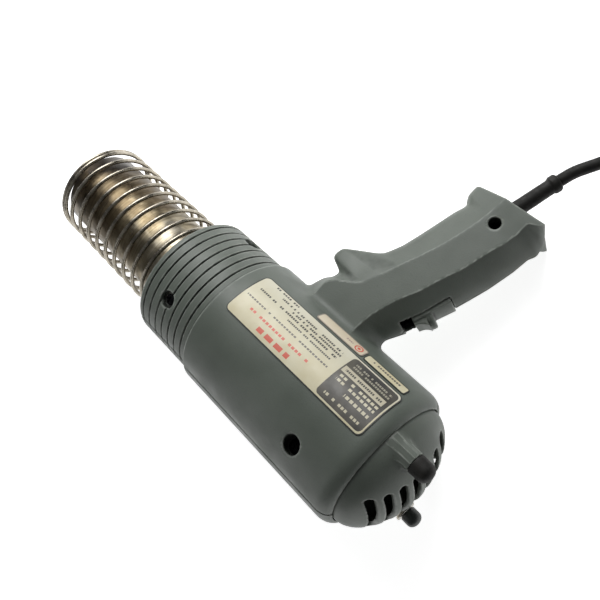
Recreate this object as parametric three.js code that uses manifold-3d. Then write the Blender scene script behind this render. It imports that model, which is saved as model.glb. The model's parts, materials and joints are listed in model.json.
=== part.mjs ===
// Industrial heat gun with a slotted air dial, a ribbed collar and a coil-spring burn guard.
//
// The gun is drawn in its own frame, in millimetres: +X along the barrel to the nozzle, +Z from the
// barrel to its top, away from the grip, and +Y to its left. X is 0 at the seam of the air dial.
// At the end the gun is laid on its left side, as it lies on a bench, with +Z up, and the origin is
// at the bottom centre of its box. The mains cord lies on the bench in that final frame.

import * as THREE from "three";
import Module from "manifold-3d";
import { mergeVertices } from "three/addons/utils/BufferGeometryUtils.js";

const wasm = await Module();
wasm.setup();

// ---- driving dimensions ----

const GAP = 0.3; // between pieces that touch or are parted
const ROUND = 36; // sides of a large circle
const SMALL = 12; // sides of a small one
const REST_TILT = 10; // degrees from the floor to the gun's middle plane's normal

const BODY_R = 41;
const BODY_FRONT = 113;
const SEAM_R = 36.2; // rear opening, which the air dial closes
const PARTING_TURN = 27.7; // degrees that the halves' joint leans to the left above the barrel's axis
const REAR_ROUND = 8; // length of the rounded rear shoulder
const WALL = 3;
const COLLAR_R = 39.2;
const COLLAR_FRONT = 157.4;
const MOUTH_R = 34; // the collar's front recess, where the guard is seated
const MOUTH_DEPTH = 10;
const GROOVE_FIRST = 118.3;
const GROOVE_PITCH = 5.8;
const GROOVE_COUNT = 7;
const GROOVE_DEPTH = 0.9;

const GRIP_HALF = 17.4; // half the grip's thickness
const GRIP_CORE_END = -134.4;
// outlines of the grip as [z, x]: front and back edges, and the ridges that bound its flat sides
const GRIP_FRONT = [[-25, 92], [-36, 97], [-44, 95.5], [-50, 93], [-53.3, 89.4], [-57.4, 88],
  [-58.6, 89.5], [-59.8, 94.2], [-60.8, 96.4], [-62.3, 97.4], [-64.5, 97.2], [-68.3, 96.4],
  [-70.1, 93.3], [-74.2, 85.8], [-78.4, 78.2], [-80.8, 75.6], [-84.1, 73.8], [-89.2, 71.1],
  [-99.1, 67.8], [-109.9, 64.5], [-119.3, 61.8], [-124.5, 59.6], [-126.5, 59], [-128.6, 61],
  [-131.2, 62.3], [-137.4, 62]];
const RIDGE_FRONT = [[-25, 84], [-50, 84], [-53.5, 78.7], [-58.4, 69.3], [-62.2, 67.1],
  [-72.6, 61.7], [-79.2, 58.8], [-89, 54], [-99.1, 49.6], [-109.8, 45.9], [-118.2, 43.5],
  [-127.2, 41.7], [-137.4, 40.5]];
const RIDGE_BACK = [[-25, 56], [-50.3, 52.2], [-59.8, 49.2], [-65.7, 46.4], [-75, 41.4],
  [-85.4, 37.4], [-96.5, 32.4], [-104.6, 30], [-112.7, 27.5], [-118.6, 25.2], [-124.2, 23.8],
  [-133.1, 23.3], [-137.4, 19]];
const GRIP_BACK = [[-25, 46], [-42, 44], [-46, 44], [-56, 38], [-68, 32], [-79.6, 28.3],
  [-89.8, 24.6], [-99.7, 21.2], [-106.8, 19.4], [-113.9, 17.6], [-124.4, 15.9], [-127, 14],
  [-131, 14.7], [-137.4, 16]];
const GRIP_CORE_FRONT = [[-25, 89], [-50, 88], [-57, 84.5], [-72, 83], [-80, 72.8], [-93, 66.8],
  [-105, 63], [-113, 60.6], [-126, 56], [-134.4, 58]];

const DIAL_TURN = 24; // degrees that the dial stands turned at
const DOME_DEPTH = 20.8;
const DOME_POWER = 1.85; // exponent of the dome's outline
const DOME_WALL = 2.6;
const FLANGE = 1.5; // that holds the dial behind the housing's rim
const SLOT_W = 4.5;
const SLOT_PITCH = 7.85;
const SLOT_HALF = 18.5;
const SLOT_COUNT = 7;
const POST_OFF = 31; // from the barrel's axis to each post
const POST_R = 5.2;
const POST_STEP = -14.7; // where the grey post ends and its tip begins
const POST_END = -25;

const TUBE_R = 24.8;
const TUBE_WALL = 1.2;
const TUBE_BACK = 101;
const TUBE_FRONT = 258;
const GUARD_R = 30.2; // to the middle of the guard's wire
const WIRE_R = 1.05;
const GUARD_BACK = 149.5;
const GUARD_FRONT = 257;
const GUARD_TURNS = 13;
const GUARD_PLAY = 0.2; // between its shut turns
const GUARD_STEPS = 13; // straight pieces in each turn
const GUARD_SHUT = [0.9, 1.7]; // turns wound close together at the back and at the front
const HEATING_R = 19.6;
const HEATING_TURNS = 11;
const HEATING_WIRE_R = 0.6;

const SLIDE_ORIGIN = new THREE.Vector3(33, 0, -67.5); // on the grip's back, at the slide switch
const SLIDE_LEAN = 23.6; // degrees that the grip's back leans from the gun's Z
const SLOT_LOW = -15.3; // the switch opening's ends, along the slide
const SLOT_HIGH = 13.1;
const SLIDER_W = 16;

const BOOT_TOP = new THREE.Vector3(41.3, 0, -131);
const BOOT_LEAN = 15.9; // degrees that the cord boot leans back
const BOOT_LENGTH = 35.3;
const CORD_R = 3.25;
const COIL_R = 36; // to the middle of the coil's turns
const COIL_W = 14.2;
const COIL_H = 26.6;
const COIL_LIFT = 1.4; // the tie passes under the coil
const COIL_CENTRE = [-155.2, -148.9];
const PLUG_BACK = [-187.6, -83.3, 7.8];
const PLUG_HEADING = 78.5; // degrees from +X, seen from above
const BLADE_SPACING = 12.7;

// ---- making and joining solids ----

const rad = THREE.MathUtils.degToRad;

function signedVolume(position, index) {
  const [a, b, c] = [new THREE.Vector3(), new THREE.Vector3(), new THREE.Vector3()];
  let sum = 0;
  for (let i = 0; i < index.length; i += 3) {
    a.fromArray(position, index[i] * 3);
    b.fromArray(position, index[i + 1] * 3);
    c.fromArray(position, index[i + 2] * 3);
    sum += a.dot(b.cross(c)) / 6;
  }
  return sum;
}

// A closed geometry as a solid, with its faces turned out.
function solid(geometry) {
  const bare = geometry.clone();
  bare.deleteAttribute("normal");
  bare.deleteAttribute("uv");
  const merged = mergeVertices(bare, 1e-4);
  const position = merged.attributes.position.array;
  const index = [];
  for (let i = 0; i < merged.index.count; i += 3) {
    const [a, b, c] = [0, 1, 2].map((k) => merged.index.getX(i + k));
    if (a !== b && b !== c && c !== a) {
      index.push(a, b, c);
    }
  }
  if (signedVolume(position, index) < 0) {
    index.reverse();
  }
  const mesh = new wasm.Mesh({
    numProp: 3,
    vertProperties: new Float32Array(position),
    triVerts: new Uint32Array(index),
  });
  return new wasm.Manifold(mesh);
}

function geometryOf(body) {
  const mesh = body.getMesh();
  const geometry = new THREE.BufferGeometry();
  geometry.setAttribute("position", new THREE.BufferAttribute(mesh.vertProperties, 3));
  geometry.setIndex(new THREE.BufferAttribute(mesh.triVerts, 1));
  return geometry;
}

const joined = (bodies) => bodies.reduce((sum, body) => sum.add(body));
const without = (body, cuts) => cuts.reduce((rest, cut) => rest.subtract(cut), body);

// A profile of [x, radius] turned about the X axis.
function turned(profile, sides = ROUND) {
  const points = profile.map(([x, r]) => new THREE.Vector2(r, x));
  return new THREE.LatheGeometry(points, sides).rotateZ(-Math.PI / 2);
}

function ring(x0, x1, inner, outer, sides = ROUND) {
  const section = [[x0, inner], [x1, inner], [x1, outer], [x0, outer], [x0, inner]];
  return solid(turned(section, sides));
}

function disc(x0, x1, radius, sides = ROUND) {
  return solid(turned([[x0, 0], [x0, radius], [x1, radius], [x1, 0]], sides));
}

function block([x0, x1], [y0, y1], [z0, z1]) {
  const box = new THREE.BoxGeometry(x1 - x0, y1 - y0, z1 - z0);
  return solid(box.translate((x0 + x1) / 2, (y0 + y1) / 2, (z0 + z1) / 2));
}

// A round bar from one point to another.
function bar(from, to, radius, sides = SMALL) {
  const [a, b] = [new THREE.Vector3(...from), new THREE.Vector3(...to)];
  const along = b.clone().sub(a);
  const turn = new THREE.Quaternion().setFromUnitVectors(
    new THREE.Vector3(0, 1, 0), along.clone().normalize());
  const geometry = new THREE.CylinderGeometry(radius, radius, along.length(), sides);
  geometry.applyQuaternion(turn);
  return solid(geometry.translate(...a.add(b).multiplyScalar(0.5)));
}

function roundShape(radius, sides) {
  const points = [];
  for (let i = 0; i < sides; i += 1) {
    const turn = (2 * Math.PI * (i + 0.5)) / sides;
    points.push(new THREE.Vector2(radius * Math.cos(turn), radius * Math.sin(turn)));
  }
  return new THREE.Shape(points);
}

function tubeAlong(curve, radius, sides, steps) {
  const options = { extrudePath: curve, steps, bevelEnabled: false };
  return solid(new THREE.ExtrudeGeometry(roundShape(radius, sides), options));
}

function wire(points, radius, sides, steps) {
  const curve = new THREE.CatmullRomCurve3(points.map((p) => new THREE.Vector3(...p)));
  return tubeAlong(curve, radius, sides, steps);
}

// A skin through sections with equal numbers of points, closed by a fan at each end.
function loft(sections) {
  const count = sections[0].length;
  const position = [];
  const index = [];
  sections.forEach((section) => section.forEach((p) => position.push(...p)));
  for (let s = 0; s + 1 < sections.length; s += 1) {
    for (let i = 0; i < count; i += 1) {
      const [a, b] = [s * count + i, s * count + ((i + 1) % count)];
      index.push(a, b, b + count, a, b + count, a + count);
    }
  }
  [0, sections.length - 1].forEach((s) => {
    const centre = position.length / 3;
    const middle = [0, 1, 2].map((k) => sections[s].reduce((sum, p) => sum + p[k], 0) / count);
    position.push(...middle);
    for (let i = 0; i < count; i += 1) {
      const [a, b] = [s * count + i, s * count + ((i + 1) % count)];
      index.push(...(s === 0 ? [centre, b, a] : [centre, a, b]));
    }
  });
  const geometry = new THREE.BufferGeometry();
  geometry.setAttribute("position", new THREE.Float32BufferAttribute(position, 3));
  geometry.setIndex(index);
  return solid(geometry);
}

// ---- the node list ----

const gun = new THREE.Group();
const bench = new THREE.Group();

const finishes = {
  housing: new THREE.MeshStandardMaterial({ color: 0x78827a, roughness: 0.62, metalness: 0 }),
  darkPlastic: new THREE.MeshStandardMaterial({ color: 0x4a514d, roughness: 0.5, metalness: 0 }),
  rubber: new THREE.MeshStandardMaterial({ color: 0x24241f, roughness: 0.85, metalness: 0 }),
  steel: new THREE.MeshStandardMaterial({ color: 0xb4ad9c, roughness: 0.35, metalness: 1 }),
  heatedSteel: new THREE.MeshStandardMaterial({ color: 0x9a8f7c, roughness: 0.4, metalness: 1 }),
  blackSteel: new THREE.MeshStandardMaterial({ color: 0x2c2c2c, roughness: 0.5, metalness: 1 }),
  copper: new THREE.MeshStandardMaterial({ color: 0xb87345, roughness: 0.4, metalness: 1 }),
  brass: new THREE.MeshStandardMaterial({ color: 0xc9a55a, roughness: 0.35, metalness: 1 }),
  ceramic: new THREE.MeshStandardMaterial({ color: 0xddd8c8, roughness: 0.7, metalness: 0 }),
  mica: new THREE.MeshStandardMaterial({ color: 0xb9a88a, roughness: 0.6, metalness: 0 }),
  carbon: new THREE.MeshStandardMaterial({ color: 0x303030, roughness: 0.8, metalness: 0 }),
  label: new THREE.MeshStandardMaterial({ color: 0xe8e2c8, roughness: 0.4, metalness: 0 }),
};

function add(name, body, finish, parent = gun) {
  const mesh = new THREE.Mesh(geometryOf(body), finishes[finish]);
  mesh.name = name;
  parent.add(mesh);
  return mesh;
}

// ---- housing ----

function barrelProfile() {
  const profile = [[0, 0]];
  for (let i = 0; i <= 4; i += 1) {
    const turn = (Math.PI / 2) * (i / 4);
    const x = REAR_ROUND * (1 - Math.cos(turn));
    profile.push([x, SEAM_R + (BODY_R - SEAM_R) * Math.sin(turn)]);
  }
  profile.push([BODY_FRONT, BODY_R], [BODY_FRONT + 1, COLLAR_R]);
  for (let i = 0; i < GROOVE_COUNT; i += 1) {
    const x = GROOVE_FIRST + i * GROOVE_PITCH;
    profile.push([x - 0.7, COLLAR_R], [x, COLLAR_R - GROOVE_DEPTH], [x + 0.7, COLLAR_R]);
  }
  profile.push([COLLAR_FRONT - 1.6, COLLAR_R], [COLLAR_FRONT, COLLAR_R - 1.6], [COLLAR_FRONT, 0]);
  return profile;
}

const BULKHEAD = COLLAR_FRONT - MOUTH_DEPTH; // the wall behind the collar's recess
const BULKHEAD_BACK = BULKHEAD - 3.4;
const COLLAR_BORE = COLLAR_R - 2.7;

function barrelHollow() {
  const bore = BODY_R - WALL;
  return solid(turned([[-1, 0], [-1, SEAM_R], [WALL, SEAM_R], [WALL, bore], [BODY_FRONT - 4, bore],
    [BODY_FRONT - 2, COLLAR_BORE], [BULKHEAD_BACK, COLLAR_BORE], [BULKHEAD_BACK, TUBE_R + 0.6],
    [BULKHEAD, TUBE_R + 0.6], [BULKHEAD, MOUTH_R], [COLLAR_FRONT + 1, MOUTH_R],
    [COLLAR_FRONT + 1, 0]]));
}

// A broken line of [z, x] read at one z.
function along(line, z) {
  const i = Math.max(1, line.findIndex((point) => point[0] <= z));
  const [a, b] = [line[i - 1], line[i]];
  const share = (z - a[0]) / (b[0] - a[0]);
  return a[1] + (b[1] - a[1]) * THREE.MathUtils.clamp(share, 0, 1);
}

// The grip's section at one z: flat sides between the ridges, slopes to rounded edges.
function gripSection(z, front, back, half) {
  const ridgeFront = Math.min(along(RIDGE_FRONT, z), front - 4);
  const ridgeBack = Math.max(along(RIDGE_BACK, z), back + 3);
  const side = [[front, 0], [front - 0.8, 5], [front - 2.6, 9.5], [ridgeFront, half],
    [ridgeBack, half], [back + 2, 7.5], [back + 0.6, 4], [back, 0]];
  const mirrored = side.slice(1, -1).reverse().map(([x, y]) => [x, -y]);
  return [...side, ...mirrored].map(([x, y]) => [x, y, z]);
}

function gripSolid() {
  const levels = new Set([...GRIP_FRONT, ...GRIP_BACK, ...RIDGE_FRONT, [-100, 0]].map(([z]) => z));
  const sorted = [...levels].sort((a, b) => b - a);
  return loft(sorted.map(
    (z) => gripSection(z, along(GRIP_FRONT, z), along(GRIP_BACK, z), GRIP_HALF)));
}

function gripHollow() {
  const levels = [-25, -50, -58, -68, -79, -93, -105, -113, -124, GRIP_CORE_END];
  return loft(levels.map((z) => {
    const back = Math.max(along(GRIP_BACK, z) + 2.6, z < -120 ? 19.5 : 0);
    return gripSection(z, along(GRIP_CORE_FRONT, z), back, GRIP_HALF - 2.6);
  }));
}

// Points of the slide switch: along the slide to the barrel, out of the grip's back, and to the left.
const SLIDE_FRAME = new THREE.Matrix4()
  .makeRotationY(rad(SLIDE_LEAN))
  .setPosition(SLIDE_ORIGIN);

// A block in the slide's frame, where -X points out of the grip's back and Z along the slide.
function slideBlock(out, across, up) {
  const [[x0, x1], [y0, y1], [z0, z1]] = [[-out[1], -out[0]], across, up];
  const box = new THREE.BoxGeometry(x1 - x0, y1 - y0, z1 - z0);
  box.translate((x0 + x1) / 2, (y0 + y1) / 2, (z0 + z1) / 2);
  return solid(box.applyMatrix4(SLIDE_FRAME));
}

const REAR_SCREW = { x: 31.5, z: 20.6, head: -27, r: 4.9 };
const GRIP_SCREW = { x: 36, z: -124, head: -10, r: 3.2 };
const CLAMP_SCREWS = [22.6, -75, 157.4, 255]; // degrees round the collar, from its right side to the top
const CLAMP_X = 137.5;
const CLAMP_R = 4.9; // of each counterbore
const CLAMP_FLOOR = 35.6; // from the barrel's axis to the bottom of each counterbore
const SCREW_SHANK = 1.75;
const BOOT_BORE = 4.7;

// The point at an angle round the barrel, counted from its right side towards its top.
function around(angle, radius, x) {
  return [x, -radius * Math.cos(rad(angle)), radius * Math.sin(rad(angle))];
}

function bootPoint(distance) {
  const down = new THREE.Vector3(-Math.sin(rad(BOOT_LEAN)), 0, -Math.cos(rad(BOOT_LEAN)));
  return BOOT_TOP.clone().addScaledVector(down, distance);
}

function screwBosses() {
  return [REAR_SCREW, GRIP_SCREW].flatMap(({ x, z, head, r }) => [
    bar([x, head - 6, z], [x, head + 2, z], r + 1.6),
    bar([x, head, z], [x, -head + 6, z], SCREW_SHANK + 2.4),
  ]);
}

function housingCuts() {
  const cuts = [REAR_SCREW, GRIP_SCREW].flatMap(({ x, z, head, r }) => [
    bar([x, -BODY_R - 2, z], [x, head, z], r),
    bar([x, head - 1, z], [x, 12, z], SCREW_SHANK + GAP),
  ]);
  CLAMP_SCREWS.forEach((angle) => {
    cuts.push(bar(around(angle, CLAMP_FLOOR, CLAMP_X), around(angle, 43, CLAMP_X), CLAMP_R));
  });
  cuts.push(slideBlock([-7, 8], [-SLIDER_W / 2 - 0.5, SLIDER_W / 2 + 0.5], [SLOT_LOW, SLOT_HIGH]));
  cuts.push(bar(bootPoint(-1).toArray(), bootPoint(10).toArray(), BOOT_BORE));
  return cuts;
}

// Everything on one side of the halves' joint, which leans to the left above the barrel's axis.
function beside(side) {
  const far = 300;
  const span = side < 0 ? [-far, -GAP / 2] : [GAP / 2, far];
  const above = block([-far, far], span, [-far, far]).rotate([PARTING_TURN, 0, 0]);
  const upper = block([-far, far], [-far, far], [0, far]);
  const below = block([-far, far], span, [-far, 0]);
  return above.intersect(upper).add(below);
}

function makeHousing() {
  const outer = joined([solid(turned(barrelProfile())), gripSolid()]);
  const hollow = without(outer, [barrelHollow(), gripHollow()]);
  const filled = hollow.add(joined(screwBosses()).intersect(outer));
  const cut = without(filled, housingCuts());
  add("right_housing", cut.intersect(beside(-1)), "housing");
  add("left_housing", cut.intersect(beside(1)), "housing");
}

// A screw along +X with its head at 0 to -height.
function screwSolid(headR, height, length) {
  const head = [[-height, 0], [-height, headR * 0.75], [-height * 0.55, headR], [0, headR]];
  return solid(turned([...head, [0, SCREW_SHANK], [length, SCREW_SHANK], [length, 0]], SMALL));
}

function makeScrews() {
  const rear = add("rear_housing_screw", screwSolid(4.1, 2.8, 36), "blackSteel");
  rear.position.set(REAR_SCREW.x, REAR_SCREW.head - GAP, REAR_SCREW.z);
  rear.rotation.z = Math.PI / 2;
  const lower = add("grip_housing_screw", screwSolid(2.8, 2.2, 18), "blackSteel");
  lower.position.set(GRIP_SCREW.x, GRIP_SCREW.head - GAP, GRIP_SCREW.z);
  lower.rotation.z = Math.PI / 2;
  CLAMP_SCREWS.forEach((angle, i) => {
    const holder = new THREE.Group();
    holder.rotation.x = -rad(angle);
    gun.add(holder);
    const screw = add(`tube_clamp_screw_${i + 1}`, screwSolid(3.4, 2, 0.4), "blackSteel", holder);
    screw.position.set(CLAMP_X, -CLAMP_FLOOR - 0.8, 0);
    screw.rotation.z = Math.PI / 2;
  });
}

function label(name, [x0, x1], [from, to]) {
  const [inner, outer, steps] = [BODY_R + 0.12, BODY_R + 0.42, 8];
  const arc = (radius, i) => {
    const angle = rad(from + ((to - from) * i) / steps);
    return new THREE.Vector2(-radius * Math.sin(angle), -radius * Math.cos(angle));
  };
  const points = [];
  for (let i = 0; i <= steps; i += 1) {
    points.push(arc(outer, i));
  }
  for (let i = steps; i >= 0; i -= 1) {
    points.push(arc(inner, i));
  }
  const plate = new THREE.ExtrudeGeometry(new THREE.Shape(points), {
    depth: x1 - x0,
    bevelEnabled: false,
  });
  add(name, solid(plate.rotateY(Math.PI / 2).translate(x0, 0, 0)), "label");
}

// ---- air dial at the rear ----

function domeProfile(radius, depth, from) {
  const points = [];
  const steps = 7;
  for (let i = 0; i <= steps; i += 1) {
    const turn = (Math.PI / 2) * (i / steps);
    const x = -depth * Math.cos(turn) ** (2 / DOME_POWER);
    points.push([Math.min(x, from), i === 0 ? 0 : radius * Math.sin(turn) ** (2 / DOME_POWER)]);
  }
  return points;
}

function slotSolid(offset, half, from, to) {
  const r = SLOT_W / 2;
  const shape = new THREE.Shape();
  shape.absarc(half - r, 0, r, -Math.PI / 2, Math.PI / 2, false);
  shape.absarc(-(half - r), 0, r, Math.PI / 2, (3 * Math.PI) / 2, false);
  const prism = new THREE.ExtrudeGeometry(shape, {
    depth: to - from,
    curveSegments: 3,
    bevelEnabled: false,
  });
  // the slot's length lies along Y and its offset along Z
  prism.applyMatrix4(new THREE.Matrix4().set(0, 0, 1, from, 1, 0, 0, 0, 0, 1, 0, offset, 0, 0, 0, 1));
  return solid(prism);
}

function slots(half, from, to) {
  const list = [];
  for (let i = 0; i < SLOT_COUNT; i += 1) {
    list.push(slotSolid((i - (SLOT_COUNT - 1) / 2) * SLOT_PITCH, half, from, to));
  }
  return list;
}

function makeDial() {
  const dial = new THREE.Group();
  dial.rotation.x = rad(DIAL_TURN);
  gun.add(dial);
  const outerR = SEAM_R - GAP;
  const dome = solid(turned([...domeProfile(outerR, DOME_DEPTH, 0), [WALL + GAP, outerR],
    [WALL + GAP, outerR + FLANGE], [WALL + 1.9, outerR + FLANGE], [WALL + 1.9, 0]]));
  const bore = solid(turned([...domeProfile(outerR - DOME_WALL, DOME_DEPTH - DOME_WALL, 0),
    [WALL + 3, outerR - DOME_WALL], [WALL + 3, 0]]));
  const posts = joined([-1, 1].map((side) => bar(
    [-0.5, side * POST_OFF, 0], [POST_STEP, side * POST_OFF, 0], POST_R)));
  const shell = without(dome.add(posts), [bore, ...slots(SLOT_HALF, -DOME_DEPTH - 5, 8)]);
  add("intake_dial", shell, "housing", dial);
  const tip = turned([[POST_STEP - GAP, 0], [POST_STEP - GAP, POST_R], [POST_END + 3, POST_R - 0.2],
    [POST_END + 1, POST_R - 1.4], [POST_END, POST_R - 3.2], [POST_END, 0]], SMALL);
  add("post_tip", solid(tip.translate(0, -POST_OFF, 0)), "rubber", dial);
  const washer = ring(POST_STEP - GAP - 1.5, POST_STEP - GAP, 1.9, 6, SMALL);
  add("lock_washer", washer, "steel", dial).position.y = POST_OFF;
  const knobBack = POST_STEP - GAP - 1.8;
  const knob = turned([[knobBack, 0], [knobBack, 4.5], [POST_END + 1.6, 4.55],
    [POST_END + 0.5, 3.8], [POST_END, 2.4], [POST_END, 0]], SMALL);
  add("lock_knob", solid(knob), "darkPlastic", dial).position.y = POST_OFF;
}

// The fixed plate behind the dial: its slots and the dial's cross more or less as the dial turns.
function makeIntakePlate() {
  const plate = disc(WALL + 2.4, WALL + 3.8, BODY_R - WALL - GAP);
  add("intake_plate", without(plate, slots(26, 0, 12)), "darkPlastic");
}

// ---- outlet tube, guard and heater ----

// A coil along X. Its ends, wound shut over some turns, rise by little more than one wire per turn.
class Helix extends THREE.Curve {
  constructor(radius, [from, to], turns, shut, wirePitch) {
    super();
    Object.assign(this, { radius, from, to, turns, shut, wirePitch });
  }

  rise(turn) {
    const [back, front] = this.shut;
    const closed = Math.min(turn, back) + Math.max(0, turn - (this.turns - front));
    const open = this.to - this.from - (back + front) * this.wirePitch;
    const pitch = open / (this.turns - back - front);
    return this.from + closed * this.wirePitch + (turn - closed) * pitch;
  }

  getPoint(t, target = new THREE.Vector3()) {
    const turn = t * this.turns;
    const angle = 2 * Math.PI * turn;
    return target.set(this.rise(turn), this.radius * Math.cos(angle), -this.radius * Math.sin(angle));
  }
}

function makeOutlet() {
  const tube = ring(TUBE_BACK, TUBE_FRONT, TUBE_R - TUBE_WALL, TUBE_R, 32);
  add("outlet_tube", tube, "heatedSteel");
  const wirePitch = 2 * WIRE_R + GUARD_PLAY;
  const guard = new Helix(GUARD_R, [GUARD_BACK, GUARD_FRONT], GUARD_TURNS, GUARD_SHUT, wirePitch);
  add("spring_guard", tubeAlong(guard, WIRE_R, 6, Math.round(GUARD_TURNS * GUARD_STEPS)), "steel");
  const clampHoles = CLAMP_SCREWS.map((angle) => bar(
    around(angle, 30, CLAMP_X), around(angle, 40, CLAMP_X), SCREW_SHANK + GAP));
  const mount = ring(CLAMP_X - 9, BULKHEAD_BACK - GAP, TUBE_R + GAP, CLAMP_FLOOR - 1, 32);
  add("heater_mount_ring", without(mount, clampHoles), "ceramic");
}

function makeHeater() {
  const [from, to] = [104.6, 234];
  const arm = 17.9;
  const former = joined([
    block([from, to], [-arm, arm], [-1, 1]),
    block([from, to], [-1, 1], [-arm, arm]),
  ]);
  add("heater_former", former, "mica");
  const coil = new Helix(HEATING_R, [109, 229], HEATING_TURNS, [0, 0], 0);
  add("heating_coil", tubeAlong(coil, HEATING_WIRE_R, 4, HEATING_TURNS * 11), "steel");
  add("heater_sleeve", ring(105, 238, 21.2, 22.2, 24), "mica");
  add("terminal_disc", ring(TUBE_BACK - 0.2, 104.2, 5, 22.4, 24), "ceramic");
  const cutout = bar([114, 0, TUBE_R + 1], [114, 0, TUBE_R + 6], 6.5);
  add("thermal_cutout", cutout, "darkPlastic");
}

// ---- motor and fan ----

function makeFan() {
  const [back, front, tip] = [62, 76, 33];
  const blades = [];
  for (let i = 0; i < 9; i += 1) {
    const turn = rad((360 / 9) * i);
    const blade = new THREE.BoxGeometry(front - back - 1, tip - 7, 1.6);
    blade.translate((back + front + 1) / 2, (tip + 7) / 2, 0);
    blades.push(solid(blade.rotateX(turn)));
  }
  const plate = disc(back, back + 1.5, tip, 24);
  const hub = disc(back, front, 8, SMALL);
  const fan = joined([plate, hub, ...blades]).subtract(disc(back - 1, front + 1, 2.3, SMALL));
  add("fan", fan, "darkPlastic");
}

function makeMotor() {
  add("motor_shaft", disc(10, 80, 2, SMALL), "steel");
  add("armature", ring(25, 50, 2.3, 12, 24), "steel");
  add("commutator", ring(19.2, 24.5, 2.3, 6, SMALL), "copper");
  const flats = block([0, 100], [-30, 30], [-15, 15]);
  const core = disc(21, 54, 22, 32).intersect(flats);
  add("motor_stator", core.subtract(disc(20, 55, 12.8, 24)), "steel");
  [-1, 1].forEach((side) => {
    const name = side < 0 ? "right" : "left";
    const span = side < 0 ? [-11.8, -6.3] : [6.3, 11.8];
    add(`carbon_brush_${name}`, block([21.4, 24.2], span, [-2, 2]), "carbon");
  });
  [["rear", 12, 18], ["front", 56, 60.5]].forEach(([name, x0, x1]) => {
    const plate = block([x0, x1], [-21, 21], [-8, 8]).subtract(disc(x0 - 1, x1 + 1, 5.4, SMALL));
    add(`motor_bracket_${name}`, plate, "steel");
    add(`bearing_${name}`, ring(x0 + 0.5, x1 - 0.5, 2.3, 5, SMALL), "brass");
  });
}

function makeDuct() {
  const duct = turned([[60, 34.6], [78, 34.6], [92, 23.8], [100, 22.9], [100, 24.2], [92.6, 25.3],
    [79, 37.6], [60, 37.6], [60, 34.6]]);
  add("air_duct", solid(duct), "darkPlastic");
}

// ---- switch, cord entry and wiring ----

function makeSwitch() {
  const crown = [[-8, -4.6], [-8, -3.3], [-7.5, -2.8], [-4, -1.5], [0, -1], [4, -1.5], [7.5, -2.8],
    [8, -3.3], [8, -4.6]];
  const section = new THREE.Shape(crown.map(([y, out]) => new THREE.Vector2(y, out)));
  const length = 8.6 - (SLOT_LOW + GAP);
  const plate = new THREE.ExtrudeGeometry(section, { depth: length, bevelEnabled: false });
  // the section's height turns to -X, its width to Y, and its depth to Z
  plate.applyMatrix4(new THREE.Matrix4().set(0, -1, 0, 0, 1, 0, 0, 0, 0, 0, 1, SLOT_LOW + GAP,
    0, 0, 0, 1));
  const bump = [[-3.2, -2], [-2.4, 2.6], [-1, 4.2], [1.4, 4.6], [4, 4.2], [5.4, 2.6], [6, -2]];
  const ridge = new THREE.Shape(bump.map(([up, out]) => new THREE.Vector2(up, out)));
  const thumb = new THREE.ExtrudeGeometry(ridge, { depth: 10, bevelEnabled: false });
  // the ridge's length turns to Z, its height to -X, and its depth to Y
  thumb.applyMatrix4(new THREE.Matrix4().set(0, -1, 0, 0, 0, 0, 1, -5, 1, 0, 0, 0, 0, 0, 0, 1));
  const slider = joined([
    solid(plate.applyMatrix4(SLIDE_FRAME)),
    solid(thumb.applyMatrix4(SLIDE_FRAME)),
    slideBlock([-8, -4], [-2.5, 2.5], [-3, 3]),
  ]);
  add("switch_slider", slider, "darkPlastic");
  add("switch_actuator", slideBlock([-12, -8.4], [-2, 2], [-2.5, 2.5]), "carbon");
  add("power_switch", slideBlock([-27, -12.4], [-8, 8], [-14, 14]), "darkPlastic");
}

function makeCordEntry() {
  const profile = [[0, 0], [0, 5.9], [1.6, 5.9], [1.6, 4.3], [BOOT_LENGTH - 4.6, 4],
    [BOOT_LENGTH - 3.6, 4.9], [BOOT_LENGTH - 1, 4.9], [BOOT_LENGTH, 4.2], [BOOT_LENGTH, 0]];
  const bore = disc(-1, BOOT_LENGTH + 1, CORD_R + GAP, 12);
  const boot = add("cord_boot", solid(turned(profile, SMALL)).subtract(bore), "rubber");
  boot.position.copy(BOOT_TOP);
  boot.rotation.y = rad(90 + BOOT_LEAN);
  const held = [0.98, 0.6, 0.2, 0].map((share) => bootPoint(share * BOOT_LENGTH).toArray());
  const inner = [...held, [43.6, 0, -126], [46.2, 0, -119], [46.5, 0, -112], [45, 0, -108.3]];
  add("cord_inner_end", wire(inner, CORD_R, 10, 14), "rubber");
  add("terminal_block", block([35, 55], [-9, 9], [-106.5, -96]), "ceramic");
  const groove = wire(inner, CORD_R + GAP, 10, 14);
  add("cord_clamp", block([40.8, 52.6], [-8, 8], [-128.8, -125.2]).subtract(groove), "darkPlastic");
}

function makeWiring() {
  const leads = {
    lead_terminal_to_switch: [[44, 5, -95.6], [45, 5, -93], [46, 5, -90.6]],
    lead_switch_to_motor: [[54, 5, -59], [56, 7, -49], [55, 10, -37], [53, 18, -30.5],
      [50, 26, -21], [46, 25, -8]],
    lead_switch_to_heater: [[56.5, -5, -60], [67, -5, -53], [78, -5, -46], [85, -5, -36],
      [91, -5, -30], [97, -5, -28]],
  };
  Object.entries(leads).forEach(([name, points]) => {
    add(name, wire(points, 1.2, 6, 4 * (points.length - 1)), "rubber");
  });
}

// ---- the cord on the bench ----

// The cord's points from the boot to the coil, in the final frame.
function leadPoints(exit, direction) {
  const start = exit.clone().addScaledVector(direction, GAP);
  const rest = [[-88.3, -109.3, 11.7], [-94.6, -119.9, 8.9], [-101.4, -131.7, 5.9], [-105.5, -139, 4.6],
    [-109.2, -145.3, 3.9]];
  return [start.toArray(), ...rest];
}

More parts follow.
